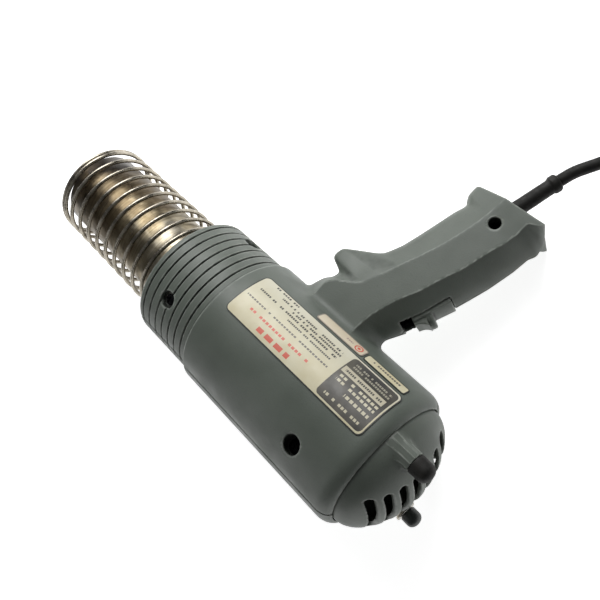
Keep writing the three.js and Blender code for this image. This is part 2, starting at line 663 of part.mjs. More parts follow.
// Its points from the coil to the plug.
const TAIL = [[-194.6, -124.3, 20.6], [-194, -111.7, 15.7], [-192, -100.2, 11.2], [-189.8, -91.7, 8.8],
  [-187.8, -83.7, 7.8]];

function makeCord(exit, direction) {
  add("cord_lead", wire(leadPoints(exit, direction), CORD_R, 10, 12), "rubber", bench);
  const [inner, outer] = [COIL_R - COIL_W / 2, COIL_R + COIL_W / 2];
  const section = [[0, inner + 2], [0, outer - 2], [2, outer], [COIL_H - 2, outer],
    [COIL_H, outer - 2], [COIL_H, inner + 2], [COIL_H - 2, inner], [2, inner], [0, inner + 2]];
  const coil = solid(turned(section, 28).rotateY(-Math.PI / 2));
  add("cord_coil", coil, "rubber", bench).position.set(...COIL_CENTRE, COIL_LIFT);
  add("cord_tail", wire(TAIL, CORD_R, 10, 10), "rubber", bench);
  const half = [COIL_W / 2 + 0.4, COIL_H / 2 + 0.4];
  const strap = 0.8;
  const band = block([-3, 3], [-half[0] - strap, half[0] + strap], [-half[1] - strap, half[1] + strap]);
  const tie = band.subtract(block([-4, 4], [-half[0], half[0]], [-half[1], half[1]]));
  const [x, y] = COIL_CENTRE;
  add("coil_tie", tie, "darkPlastic", bench).position.set(x, y - COIL_R, COIL_LIFT + COIL_H / 2);
}

// A flat plug for two parallel blades, along +X from the point where the cord enters it.
function makePlug() {
  const plug = new THREE.Group();
  plug.position.set(...PLUG_BACK);
  plug.rotation.z = rad(PLUG_HEADING);
  bench.add(plug);
  const sections = [[0.2, 4, 4], [9, 4.6, 4.4], [13, 9.5, 6.6], [20, 12, 7.5], [31, 12.4, 7.5],
    [33, 11.6, 6.9]];
  const body = loft(sections.map(([x, halfY, halfZ]) => [[1, 0.6], [0.7, 1], [-0.7, 1], [-1, 0.6],
    [-1, -0.6], [-0.7, -1], [0.7, -1], [1, -0.6]].map(([y, z]) => [x, y * halfY, z * halfZ])));
  add("plug_body", body, "rubber", plug);
  [-1, 1].forEach((side) => {
    const y = side * BLADE_SPACING / 2;
    const blade = block([33.3, 50.5], [y - 0.75, y + 0.75], [-3.2, 3.2]);
    add(`plug_blade_${side < 0 ? "right" : "left"}`, blade, "brass", plug);
  });
}

// ---- assembly ----

makeHousing();
makeScrews();
label("main_label", [8, 105], [-5.5, -47.5]);
label("rating_label", [38, 70], [-49.5, -59.5]);
label("inspection_label", [10, 37], [-49.5, -58]);
makeDial();
makeIntakePlate();
makeOutlet();
makeHeater();
makeFan();
makeMotor();
makeDuct();
makeSwitch();
makeCordEntry();
makeWiring();

gun.rotation.x = -rad(90 - REST_TILT);
gun.updateMatrixWorld(true);
const box = new THREE.Box3().setFromObject(gun, true);
gun.position.set(-(box.min.x + box.max.x) / 2, -(box.min.y + box.max.y) / 2, -box.min.z);
gun.updateMatrixWorld(true);

const exit = bootPoint(BOOT_LENGTH).applyMatrix4(gun.matrixWorld);
const direction = bootPoint(BOOT_LENGTH + 1).applyMatrix4(gun.matrixWorld).sub(exit);
makeCord(exit, direction);
makePlug();

const heatGun = new THREE.Group();
heatGun.add(gun, bench);

export default heatGun;
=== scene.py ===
"""The finished looks of the heat gun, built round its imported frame.

Shapes are worked out in the gun's own frame, in millimetres: +X along the barrel to the nozzle,
+Z from the barrel to its top, away from the grip, and +Y to its left. X is 0 at the air dial's seam.
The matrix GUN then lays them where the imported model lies, in metres. The cord's route is in the
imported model's frame.
"""
import json
import math

import bmesh
import bpy
import numpy as np
from mathutils import Matrix, Vector


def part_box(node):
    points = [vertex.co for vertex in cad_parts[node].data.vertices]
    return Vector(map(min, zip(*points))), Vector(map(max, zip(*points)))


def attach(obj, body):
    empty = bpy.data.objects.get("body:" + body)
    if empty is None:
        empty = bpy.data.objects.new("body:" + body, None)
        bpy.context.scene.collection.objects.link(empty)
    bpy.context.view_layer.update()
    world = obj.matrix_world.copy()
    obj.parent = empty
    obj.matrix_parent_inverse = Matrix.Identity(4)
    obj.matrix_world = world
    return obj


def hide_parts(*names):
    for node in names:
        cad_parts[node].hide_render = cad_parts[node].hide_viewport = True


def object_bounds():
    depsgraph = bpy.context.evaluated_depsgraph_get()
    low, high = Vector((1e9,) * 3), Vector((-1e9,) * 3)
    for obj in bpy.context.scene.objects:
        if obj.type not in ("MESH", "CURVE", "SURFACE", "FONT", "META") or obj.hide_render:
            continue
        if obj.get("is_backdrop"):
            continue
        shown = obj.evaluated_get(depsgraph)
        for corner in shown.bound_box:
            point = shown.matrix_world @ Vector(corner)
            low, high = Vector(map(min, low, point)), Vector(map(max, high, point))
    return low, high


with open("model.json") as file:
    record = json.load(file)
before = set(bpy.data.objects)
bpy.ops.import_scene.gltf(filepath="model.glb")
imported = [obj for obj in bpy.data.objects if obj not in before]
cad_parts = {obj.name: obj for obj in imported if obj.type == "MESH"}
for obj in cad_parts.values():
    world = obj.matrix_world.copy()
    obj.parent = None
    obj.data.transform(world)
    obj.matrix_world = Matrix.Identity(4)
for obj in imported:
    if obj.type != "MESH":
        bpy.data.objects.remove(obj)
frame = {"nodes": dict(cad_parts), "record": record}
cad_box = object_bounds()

MM = 0.001

# ---- driving dimensions, as the CAD has them ----

GAP = 0.3
REST_TILT = 10.0
BODY_R = 41.0
BODY_FRONT = 113.5
SEAM_R = 36.2
PARTING_TURN = 27.7
REAR_ROUND = 8.0
WALL = 2.8
COLLAR_R = 39.2
COLLAR_FRONT = 157.4
MOUTH_R = 34.0
MOUTH_DEPTH = 10.0
BULKHEAD = COLLAR_FRONT - MOUTH_DEPTH
BULKHEAD_WALL = 3.4
GROOVE_FIRST = 118.3
GROOVE_PITCH = 5.8
GROOVE_COUNT = 7
GROOVE_DEPTH = 1.3
GROOVE_HALF = 0.48

GRIP_HALF = 17.4
GRIP_END = -137.4
# the grip's outlines as [z, x]: its edges, and the ridges that bound its flat sides
GRIP_FRONT = [[-25, 92], [-36, 97], [-44, 95.5], [-50, 93], [-53.3, 89.4], [-57.4, 88],
              [-58.6, 89.5], [-59.8, 94.2], [-60.8, 96.4], [-62.3, 97.4], [-64.5, 97.2],
              [-68.3, 96.4], [-70.1, 93.3], [-74.2, 85.8], [-78.4, 78.2], [-80.8, 75.6],
              [-84.1, 73.8], [-89.2, 71.1], [-99.1, 67.8], [-109.9, 64.5], [-119.3, 61.8],
              [-124.5, 59.6], [-126.5, 59], [-128.6, 61], [-131.2, 62.3], [-137.4, 62]]
RIDGE_FRONT = [[-25, 84], [-50, 84], [-53.5, 78.7], [-58.4, 69.3], [-62.2, 67.1], [-72.6, 61.7],
               [-79.2, 58.8], [-89, 54], [-99.1, 49.6], [-109.8, 45.9], [-118.2, 43.5],
               [-127.2, 41.7], [-137.4, 40.5]]
RIDGE_BACK = [[-25, 56], [-50.3, 52.2], [-59.8, 49.2], [-65.7, 46.4], [-75, 41.4], [-85.4, 37.4],
              [-96.5, 32.4], [-104.6, 30], [-112.7, 27.5], [-118.6, 25.2], [-124.2, 23.8],
              [-133.1, 23.3], [-135.4, 17], [-137.4, 14.5]]
GRIP_BACK = [[-25, 46], [-42, 44], [-46, 44], [-56, 38], [-68, 32], [-79.6, 28.3], [-89.8, 24.6],
             [-99.7, 21.2], [-106.8, 19.4], [-113.9, 17.6], [-124.4, 15.9], [-127, 14],
             [-131, 14.7], [-137.4, 16]]

DIAL_TURN = 24.0
DOME_R = SEAM_R - GAP
DOME_DEPTH = 20.8
DOME_POWER = 1.85
DOME_WALL = 2.6
FLANGE = 1.5
SLOT_W = 4.5
SLOT_PITCH = 7.85
SLOT_HALF = 18.5
SLOT_COUNT = 7
POST_OFF = 31.0
POST_R = 5.2
POST_STEP = -14.7
POST_END = -25.0

TUBE_R = 24.8
TUBE_WALL = 1.2
TUBE_BACK = 101.0
TUBE_FRONT = 258.0
GUARD_R = 30.2
WIRE_R = 1.05
GUARD_BACK = 149.5
GUARD_FRONT = 257.0
GUARD_TURNS = 13
GUARD_PLAY = 0.35
GUARD_SHUT = (0.9, 1.7)
WIRE_GROWTH = 0.15  # how much thicker than the CAD's the shown wire is, in radius
HEATING_R = 19.6
HEATING_SPAN = (109, 229)
HEATING_TURNS = 11
HEATING_WIRE_R = 0.6
SLEEVE_SPAN = (238, 105)
SLEEVE_R = (21.2, 22.2)

SLIDE_ORIGIN = (33.0, 0.0, -67.5)
SLIDE_LEAN = 23.6
SLOT_LOW = -15.3
SLOT_HIGH = 13.1
SLIDER_W = 16.0
SLIDER_TOP = 8.6

REAR_SCREW = {"x": 31.5, "z": 20.6, "head": -27.0, "r": 4.9}
GRIP_SCREW = {"x": 36.0, "z": -124.0, "head": -10.0, "r": 3.2}
CLAMP_ANGLES = (22.6, -75, 157.4, 255)
CLAMP_X = 137.5
CLAMP_FLOOR = 35.6
CLAMP_R = 4.9
SCREW_SHANK = 1.75
BOSS_WALL = 1.6
POST_WALL = 2.4

BOOT_TOP = (41.3, 0.0, -131.0)
BOOT_LEAN = 15.9
BOOT_LENGTH = 35.3
BOOT_HOLE_R = 4.7

# ---- the gun's place ----


def gun_matrix():
    """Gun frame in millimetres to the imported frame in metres, set by where the outlet tube lies."""
    low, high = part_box("outlet_tube")
    place = Vector((low.x - TUBE_BACK * MM, (low.y + high.y) / 2, (low.z + high.z) / 2))
    turn = Matrix.Rotation(-math.radians(90 - REST_TILT), 4, "X")
    return Matrix.Translation(place) @ turn @ Matrix.Scale(MM, 4)


GUN = gun_matrix()
DIAL = GUN @ Matrix.Rotation(math.radians(DIAL_TURN), 4, "X")
SLIDE = (GUN @ Matrix.Translation(SLIDE_ORIGIN)
         @ Matrix.Rotation(math.radians(SLIDE_LEAN), 4, "Y"))

# ---- fields: negative inside a solid, and near its surface the distance to it in millimetres ----


def both(a, b, blend=0.0):
    """Where two solids meet, with the edge between their faces rounded."""
    top = np.maximum(a, b)
    if blend:
        top = top + np.maximum(blend - np.abs(a - b), 0) ** 2 / (4 * blend)
    return top


def either(a, b, blend=0.0):
    """Two solids together, with a fillet between them."""
    return -both(-a, -b, blend)


def less(a, b, blend=0.0):
    return both(a, -b, blend)


def slab(x, low, high):
    return np.maximum(low - x, x - high)


def box_field(x, y, z, half, radius):
    """A box about 0 with rounded edges."""
    q = [np.abs(c) - h + radius for c, h in zip((x, y, z), half)]
    out = np.sqrt(sum(np.maximum(c, 0) ** 2 for c in q))
    return out + np.minimum(np.maximum(np.maximum(q[0], q[1]), q[2]), 0) - radius


def smooth_outline(points, spread=1.1):
    """A table of z, x and slope for a broken line, with its corners smoothed."""
    step, reach = 0.25, 16
    z = np.arange(GRIP_END - 10, -15, step)
    x = np.interp(z, *zip(*sorted(points)))
    kernel = np.exp(-(np.arange(-reach, reach + 1) * step / spread) ** 2 / 2)
    x = np.convolve(np.pad(x, reach, mode="edge"), kernel / kernel.sum(), mode="valid")
    return z, x, np.gradient(x, z)


OUTLINES = {"front": smooth_outline(GRIP_FRONT), "back": smooth_outline(GRIP_BACK),
            "ridge_front": smooth_outline(RIDGE_FRONT, 2.0),
            "ridge_back": smooth_outline(RIDGE_BACK, 0.6)}


def outline(name, z):
    table_z, table_x, slope = OUTLINES[name]
    return np.interp(z, table_z, table_x), np.interp(z, table_z, slope)


def beside(x, y, start, end):
    """Distance in a level section from the line between two points, outside to the right of it."""
    dx, dy = end[0] - start[0], end[1] - start[1]
    return ((x - start[0]) * dy - (y - start[1]) * dx) / np.hypot(dx, dy)


def grip_field(x, y, z):
    y = np.abs(y)
    front, front_slope = outline("front", z)
    back, back_slope = outline("back", z)
    ridge_front = np.minimum(outline("ridge_front", z)[0], front - 4)
    ridge_back = np.maximum(outline("ridge_back", z)[0], back + np.clip((z + 135) * 1.5, -3, 3))
    nose = beside(x, y, (front, 0.0), (front - 0.8, 5.0))
    nose = both(nose, beside(x, y, (front - 0.8, 5.0), (front - 2.6, 9.5)), 1.0)
    flank = beside(x, y, (front - 2.6, 9.5), (ridge_front, GRIP_HALF))
    ahead = both(nose, flank, 2.6) / np.sqrt(1 + front_slope ** 2)
    bow = np.clip((z - GRIP_END) / 6, 0.02, 1)  # the back is flat across at the grip's end
    rise = beside(x, y, (ridge_back, GRIP_HALF), (back + 2.0 * bow, 7.5))
    heel = both(beside(x, y, (back + 2.0 * bow, 7.5), (back + 0.6 * bow, 4.0)),
                beside(x, y, (back + 0.6 * bow, 4.0), (back, 0.0)), 1.5)
    behind = both(rise, heel, 3.0) / np.sqrt(1 + back_slope ** 2)
    side = y - GRIP_HALF
    section = both(both(ahead, side, 0.12), behind, 0.12)
    return both(both(section, GRIP_END - z, 0.9), z + 20)


def barrel_field(x, r):
    """The plain barrel with its rounded rear shoulder, and the ribbed collar."""
    across, up = (REAR_ROUND - x) / REAR_ROUND, (r - SEAM_R) / (BODY_R - SEAM_R)
    u, v = np.maximum(across, 1e-6), np.maximum(up, 1e-6)
    size = np.hypot(u, v)
    shoulder = (size - 1) * size / np.hypot(u / REAR_ROUND, v / (BODY_R - SEAM_R))
    shoulder = np.where(across <= 0, r - BODY_R, np.where(up <= 0, -x, shoulder))
    body = both(shoulder, x - BODY_FRONT, 1.4)
    middle = GROOVE_FIRST + (GROOVE_COUNT - 1) * GROOVE_PITCH / 2
    nearest = np.round((x - middle) / GROOVE_PITCH)
    nearest = np.clip(nearest, -(GROOVE_COUNT // 2), GROOVE_COUNT // 2)
    groove = both(np.abs(x - middle - nearest * GROOVE_PITCH) - GROOVE_HALF,
                  COLLAR_R - GROOVE_DEPTH - r)
    collar = less(both(r - COLLAR_R, x - COLLAR_FRONT, 2.4), groove, 0.5)
    return either(body, both(collar, BODY_FRONT - 5 - x), 0.6)


def radial(x, y, z, angle):
    """Distances along and off the line at an angle round the barrel, from its right side upwards."""
    turn = math.radians(angle)
    out = -math.cos(turn) * y + math.sin(turn) * z
    aside = math.sin(turn) * y + math.cos(turn) * z
    return out, np.hypot(x - CLAMP_X, aside)


def in_slide(x, z):
    """A point of the gun frame in the slide switch's frame, as (out of the grip's back, up)."""
    lean = math.radians(SLIDE_LEAN)
    x, z = x - SLIDE_ORIGIN[0], z - SLIDE_ORIGIN[2]
    return (-(math.cos(lean) * x - math.sin(lean) * z), math.sin(lean) * x + math.cos(lean) * z)


def cord_hole(x, y, z):
    lean = math.radians(BOOT_LEAN)
    x, z = x - BOOT_TOP[0], z - BOOT_TOP[2]
    down = -math.sin(lean) * x - math.cos(lean) * z
    aside = math.cos(lean) * x - math.sin(lean) * z
    return both(np.hypot(aside, y) - BOOT_HOLE_R, -1.5 - down)


def housing_skin(x, y, z):
    """The housing as it would be without its openings."""
    return either(barrel_field(x, np.hypot(y, z)), grip_field(x, y, z), 3.6)


def housing_field(x, y, z):
    """Both halves of the housing as one shell, before they are parted."""
    r = np.hypot(y, z)
    outer = housing_skin(x, y, z)
    rear = both(r - SEAM_R, x - WALL - 2)
    hollow = both(both(outer + WALL, x - BULKHEAD + BULKHEAD_WALL), WALL + 0.2 - x)
    mouth = both(r - MOUTH_R, BULKHEAD - x)
    bore = both(r - TUBE_R - 0.6, TUBE_BACK - x)
    shell = less(less(less(outer, hollow), either(mouth, bore), 0.7), rear, 0.9)
    for screw in (REAR_SCREW, GRIP_SCREW):
        off = np.hypot(x - screw["x"], z - screw["z"])
        boss = both(off - screw["r"] - BOSS_WALL, slab(y, screw["head"] - 6, screw["head"] + 2))
        post = both(off - SCREW_SHANK - POST_WALL, slab(y, screw["head"], -screw["head"] + 6))
        shell = either(shell, both(np.minimum(boss, post), outer + 0.5), 0.8)
        shell = less(shell, both(off - screw["r"], y - screw["head"]), 0.7)
        shell = less(shell, both(off - SCREW_SHANK - GAP, slab(y, screw["head"] - 1, 12)))
    for angle in CLAMP_ANGLES:
        out, off = radial(x, y, z, angle)
        shell = less(shell, both(off - CLAMP_R, CLAMP_FLOOR - out), 0.5)
    out, up = in_slide(x, z)
    slope_end = SLOT_HIGH + 1.3 * np.clip(out + 1.5, 0, 4)
    opening = both(slab(out, -7, 8), np.abs(y) - SLIDER_W / 2 - 0.7)
    shell = less(shell, both(opening, slab(up, SLOT_LOW, slope_end), 1.2), 0.5)
    return less(shell, cord_hole(x, y, z), 0.5)


def parting(y, z):
    """Distance to the left of the halves' joint, which leans to the left above the barrel's axis."""
    lean = math.radians(PARTING_TURN)
    return np.where(z > 0, y * math.cos(lean) + z * math.sin(lean), y)


# ---- turning fields into meshes ----

CREASE = 40.0  # degrees between faces from which an edge is shaded sharp


def lines(low, high, step, fine=()):
    """Grid lines over a span, closer together in each fine stretch (from, to, step)."""
    marks = []
    at = low
    while at < high + step:
        marks.append(at)
        steps = [s for a, b, s in fine if a <= at < b]
        at += min([step] + steps)
        for a, _, s in fine:
            if marks[-1] < a < at and not steps:
                at = a
    return np.array(marks)


def values(field, xs, ys, zs):
    """A field on a grid, worked out in slices to spare memory."""
    out = np.empty((len(xs), len(ys), len(zs)), np.float32)
    chunk = 8
    for i in range(0, len(xs), chunk):
        x = xs[i:i + chunk, None, None]
        out[i:i + chunk] = field(x, ys[None, :, None], zs[None, None, :])
    return out


def gradient(field, p, reach=0.04):
    normal = np.empty_like(p)
    for k in range(3):
        step = np.zeros(3)
        step[k] = reach
        a, b = p + step, p - step
        normal[:, k] = field(a[:, 0], a[:, 1], a[:, 2]) - field(b[:, 0], b[:, 1], b[:, 2])
    return normal / np.maximum(np.linalg.norm(normal, axis=1, keepdims=True), 1e-9)


def contour(field, xs, ys, zs):
    """The surface where a field is 0, as vertices and quads: each grid cell that it passes through
    holds one vertex, where the planes through the cell's crossed edges meet best."""
    grid = values(field, xs, ys, zs)
    axes = (xs, ys, zs)
    shape = np.array(grid.shape) - 1
    cells, spots, normals, flips = [], [], [], []
    for k in range(3):
        first = np.take(grid, range(shape[k]), axis=k)
        second = np.take(grid, range(1, shape[k] + 1), axis=k)
        at = np.argwhere((first < 0) != (second < 0))
        others = [o for o in range(3) if o != k]
        keep = np.all([(at[:, o] > 0) & (at[:, o] < shape[o]) for o in others], axis=0)
        at = at[keep]
        a = first[tuple(at.T)].astype(float)
        b = second[tuple(at.T)].astype(float)
        spot = np.stack([axes[o][at[:, o]] for o in range(3)], axis=1)
        low, high = axes[k][at[:, k]], axes[k][at[:, k] + 1]
        side = np.where(a < 0, 1.0, -1.0)
        for _ in range(4):
            share = np.clip(a / np.where(a == b, 1.0, a - b), 0.02, 0.98)
            spot[:, k] = low + share * (high - low)
            here = field(spot[:, 0], spot[:, 1], spot[:, 2])
            inner = here * side < 0
            low, a = np.where(inner, spot[:, k], low), np.where(inner, here, a)
            high, b = np.where(inner, high, spot[:, k]), np.where(inner, b, here)
        around = []
        for i, j in ((0, 0), (-1, 0), (-1, -1), (0, -1)):
            cell = at.copy()
            cell[:, others[0]] += i
            cell[:, others[1]] += j
            around.append((cell[:, 0] * shape[1] + cell[:, 1]) * shape[2] + cell[:, 2])
        cells.append(np.stack(around, axis=1))
        spots.append(spot)
        normals.append(gradient(field, spot))
        flips.append((side < 0) != (k == 1))
    cells, spots = np.concatenate(cells), np.concatenate(spots)
    normals, flips = np.concatenate(normals), np.concatenate(flips)
    used, faces = np.unique(cells, return_inverse=True)
    faces = faces.reshape(cells.shape)
    corner = faces.ravel()
    spot, normal = np.repeat(spots, 4, axis=0), np.repeat(normals, 4, axis=0)

    def summed(weights):
        return np.bincount(corner, weights=weights, minlength=len(used))

    count = summed(np.ones(len(corner)))
    centre = np.stack([summed(spot[:, k]) for k in range(3)], axis=1) / count[:, None]
    lift = np.sum(normal * (spot - centre[corner]), axis=1)
    pull = np.stack([summed(normal[:, k] * lift) for k in range(3)], axis=1)
    tie = np.empty((len(used), 3, 3))
    for i in range(3):
        for j in range(3):
            tie[:, i, j] = summed(normal[:, i] * normal[:, j])
    tie += 0.06 * count[:, None, None] * np.eye(3)
    vertices = centre + np.linalg.solve(tie, pull[:, :, None])[:, :, 0]
    cell = np.stack(np.unravel_index(used, tuple(shape)), axis=1)
    for k in range(3):
        vertices[:, k] = np.clip(vertices[:, k], axes[k][cell[:, k]], axes[k][cell[:, k] + 1])
    faces[flips] = faces[flips][:, ::-1]
    return vertices, faces


def edge_and_corner_masks(field, vertices, step=0.45, reach=1.3):
    """How sharply the surface stands out at each vertex, and how deep it lies in a corner, 0 to 1:
    the masks for a painted highlight and painted shade.
    """
    normal = gradient(field, vertices)
    here = field(vertices[:, 0], vertices[:, 1], vertices[:, 2])
    bend = np.zeros(len(vertices))
    for k in range(3):
        shift = np.zeros(3)
        shift[k] = step
        for near in (vertices + shift, vertices - shift):
            bend += (field(near[:, 0], near[:, 1], near[:, 2]) - here) / step ** 2
    outer = vertices + normal * 2 * reach
    pit = 1 - field(outer[:, 0], outer[:, 1], outer[:, 2]) / (2 * reach)
    return np.clip(bend / 2, 0, 1), np.clip(pit, 0, 1)


def make_mesh(name, vertices, faces, matrix, crease=CREASE):
    mesh = bpy.data.meshes.new(name)
    mesh.from_pydata([tuple(v) for v in np.asarray(vertices, float)], [], [tuple(f) for f in faces])
    mesh.transform(matrix)
    mesh.validate()
    mesh.shade_smooth()
    mesh.set_sharp_from_angle(angle=math.radians(crease))
    return mesh


def add_piece(mesh, finish, body, nodes):
    """Links a mesh, in one of the finishes, as a piece that rides on a body and stands for CAD nodes.
    Its slot has the finish's name."""
    piece = bpy.data.objects.new(mesh.name, mesh)
    bpy.context.scene.collection.objects.link(piece)
    mesh.materials.append(FINISHES[finish])
    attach(piece, body)
    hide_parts(*nodes)
    return piece


def field_mesh(name, field, grid, matrix, skin=None):
    """A mesh of a field, with the masks for a painted highlight and painted shade. Where it lies
    below a skin, as in a hole, it counts as a corner for the painted shade.
    """
    unshaded_depth, full_shade_depth = 0.36, 1.26
    vertices, faces = contour(field, *grid)
    edge, pit = edge_and_corner_masks(field, vertices)
    if skin:
        # painted shade: the deeper below the skin, the darker, from none to full
        below = np.interp(-skin(*vertices.T), (unshaded_depth, full_shade_depth), (0, 1))
        pit = np.maximum(pit, below)
    mesh = make_mesh(name, vertices, faces, matrix)
    for label, amount in (("edge", edge), ("pit", pit)):
        layer = mesh.attributes.new(label, "FLOAT", "POINT")
        layer.data.foreach_set("value", amount.astype(np.float32))
    return mesh


def rounded(profile, radius, steps=3):
    """A broken line with each inner corner eased by a short curve."""
    points = [np.array(p, float) for p in profile]
    out = [points[0]]
    for before, corner, after in zip(points, points[1:], points[2:]):
        a, b = before - corner, after - corner
        reach = [min(radius, np.linalg.norm(v) * 0.45) for v in (a, b)]
        start = corner + a / np.linalg.norm(a) * reach[0]
        end = corner + b / np.linalg.norm(b) * reach[1]
        for t in np.linspace(0, 1, steps + 1):
            out.append((1 - t) ** 2 * start + 2 * t * (1 - t) * corner + t ** 2 * end)
    return out + [points[-1]]


def eased_ring(corners, radius):
    """A closed profile with all its corners eased."""
    out = rounded(corners + corners[:2], radius)[1:-1]
    return out + [out[0]]


def lathe(name, profile, matrix, sides):
    """A profile of [x, radius] turned about X, starting and ending on the axis or closed."""
    closed = np.allclose(profile[0], profile[-1])
    rows = list(profile[:-1] if closed else profile)
    if rows_run_backwards(rows):
        rows.reverse()
    vertices, rings = [], []
    for x, r in rows:
        if r < 1e-6:
            rings.append([len(vertices)] * sides)
            vertices.append((x, 0, 0))
            continue
        rings.append([len(vertices) + i for i in range(sides)])
        for i in range(sides):
            turn = 2 * math.pi * i / sides
            vertices.append((x, r * math.cos(turn), r * math.sin(turn)))
    faces = []
    pairs = list(zip(rings, rings[1:] + rings[:1] if closed else rings[1:]))
    for lower, upper in pairs:
        for i in range(sides):
            j = (i + 1) % sides
            face = [lower[i], lower[j], upper[j], upper[i]]
            faces.append(list(dict.fromkeys(face)))
    return make_mesh(name, vertices, faces, matrix)


def rows_run_backwards(rows):
    """Whether a profile encloses its section the wrong way round for faces that point out."""
    area = sum(a[0] * b[1] - b[0] * a[1] for a, b in zip(rows, list(rows[1:]) + [rows[0]]))
    return area > 0


def tube(name, path, radius, matrix, sides=12, ends=0.25):
    """A round wire along a path, its ends eased by a share of its radius."""
    path = np.asarray(path, float)
    ahead = np.gradient(path, axis=0)
    ahead /= np.linalg.norm(ahead, axis=1, keepdims=True)
    side = np.cross(ahead[0], (0.31, 0.22, 0.93))
    frames = []
    for along in ahead:
        side = side - along * (side @ along)
        side /= np.linalg.norm(side)
        frames.append((side, np.cross(along, side)))
    ease = radius * ends
    stations = [(path[0], 0, 1 - ends)] + [(p, k, 1) for k, p in enumerate(path)]
    stations.append((path[-1], len(path) - 1, 1 - ends))
    stations[1] = (path[0] + ahead[0] * ease, 0, 1)
    stations[-2] = (path[-1] - ahead[-1] * ease, len(path) - 1, 1)
    vertices, faces = [], []
    for at, k, share in stations:
        side, up = frames[k]
        for i in range(sides):
            turn = 2 * math.pi * i / sides
            vertices.append(at + radius * share * (side * math.cos(turn) + up * math.sin(turn)))
    for row in range(len(stations) - 1):
        for i in range(sides):
            j = (i + 1) % sides
            a, b = row * sides, (row + 1) * sides
            faces.append((a + i, a + j, b + j, b + i))
    last = (len(stations) - 1) * sides
    faces.append(tuple(reversed(range(sides))))
    faces.append(tuple(range(last, last + sides)))
    return make_mesh(name, vertices, faces, matrix, 50.0)


def smooth_path(points, step):
    """A smooth curve through points, in steps of about one length."""
    points = [np.array(p, float) for p in points]
    ends = [2 * points[0] - points[1]] + points + [2 * points[-1] - points[-2]]
    out = []
    for a, b, c, d in zip(ends, ends[1:], ends[2:], ends[3:]):
        count = max(2, int(round(np.linalg.norm(c - b) / step)))
        for t in np.arange(count) / count:
            out.append(0.5 * (2 * b + (c - a) * t + (2 * a - 5 * b + 4 * c - d) * t ** 2
                              + (3 * b - a - 3 * c + d) * t ** 3))
    return np.array(out + [points[-1]])


# ---- finishes ----


class Finish:
    """A material and its shader, with short ways to add nodes. Lengths are in millimetres."""

    def __init__(self, name, **shader):
        self.material = bpy.data.materials.new(name)
        self.material.use_nodes = True
        self.tree = self.material.node_tree
        self.shader = self.tree.nodes["Principled BSDF"]
        for key, value in shader.items():
            self.shader.inputs[key.replace("_", " ")].default_value = value
        place = self.tree.nodes.new("ShaderNodeTexCoord")
        scale = self.tree.nodes.new("ShaderNodeVectorMath")
        scale.operation = "SCALE"
        scale.inputs["Scale"].default_value = 1 / MM
        self.tree.links.new(place.outputs["Object"], scale.inputs[0])
        self.place = scale.outputs[0]
        self.uv = place.outputs["UV"]

    def put(self, socket, value):
        if isinstance(value, bpy.types.NodeSocket):
            self.tree.links.new(value, socket)
        else:
            socket.default_value = value

    def math(self, operation, *values):
        node = self.tree.nodes.new("ShaderNodeMath")
        node.operation = operation
        for socket, value in zip(node.inputs, values):
            self.put(socket, value)
        return node.outputs[0]

    def parts(self, vector):
        node = self.tree.nodes.new("ShaderNodeSeparateXYZ")
        self.put(node.inputs[0], vector)
        return node.outputs

    def stretched(self, scale):
        node = self.tree.nodes.new("ShaderNodeVectorMath")
        node.operation = "MULTIPLY"
        self.put(node.inputs[0], self.place)
        node.inputs[1].default_value = scale
        return node.outputs[0]

    def noise(self, size, detail=3.0, vector=None, rough=0.5, distort=0.0):
        node = self.tree.nodes.new("ShaderNodeTexNoise")
        self.put(node.inputs["Vector"], vector or self.place)
        node.inputs["Scale"].default_value = 1 / size
        node.inputs["Detail"].default_value = detail
        node.inputs["Roughness"].default_value = rough
        node.inputs["Distortion"].default_value = distort
        return node.outputs["Fac"]

    def cells(self, size):
        node = self.tree.nodes.new("ShaderNodeTexVoronoi")
        self.put(node.inputs["Vector"], self.place)
        node.inputs["Scale"].default_value = 1 / size
        return node.outputs["Distance"]

    def ramp(self, value, *stops):
        node = self.tree.nodes.new("ShaderNodeValToRGB")
        self.put(node.inputs[0], value)
        while len(node.color_ramp.elements) < len(stops):
            node.color_ramp.elements.new(0.5)
        for element, (at, colour) in zip(node.color_ramp.elements, stops):
            element.position = at
            element.color = (*colour, 1)
        return node.outputs["Color"]

    def between(self, value, low, high, start=0.0, end=1.0):
        node = self.tree.nodes.new("ShaderNodeMapRange")
        for socket, item in zip(node.inputs, (value, low, high, start, end)):
            self.put(socket, item)
        return node.outputs[0]

    def mix(self, share, a, b, blend="MIX"):
        node = self.tree.nodes.new("ShaderNodeMix")
        node.data_type = "RGBA"
        node.blend_type = blend
        self.put(node.inputs["Factor"], share)
        for key, value in (("A", a), ("B", b)):
            socket = [s for s in node.inputs if s.name == key and s.type == "RGBA"][0]
            self.put(socket, (*value, 1) if isinstance(value, tuple) else value)
        return [s for s in node.outputs if s.type == "RGBA"][0]

    def attribute(self, name):
        node = self.tree.nodes.new("ShaderNodeAttribute")
        node.attribute_name = name
        return node.outputs["Fac"]

    def bump(self, height, distance, strength=1.0):
        """Adds a bump, its height in millimetres, over the bumps that are there."""
        node = self.tree.nodes.new("ShaderNodeBump")
        node.inputs["Distance"].default_value = distance * MM
        node.inputs["Strength"].default_value = strength
        self.put(node.inputs["Height"], height)
        before = self.shader.inputs["Normal"].links
        if before:
            self.put(node.inputs["Normal"], before[0].from_socket)
        self.put(self.shader.inputs["Normal"], node.outputs[0])

    def set(self, **values):
        for key, value in values.items():
            self.put(self.shader.inputs[key.replace("_", " ")], value)
        return self


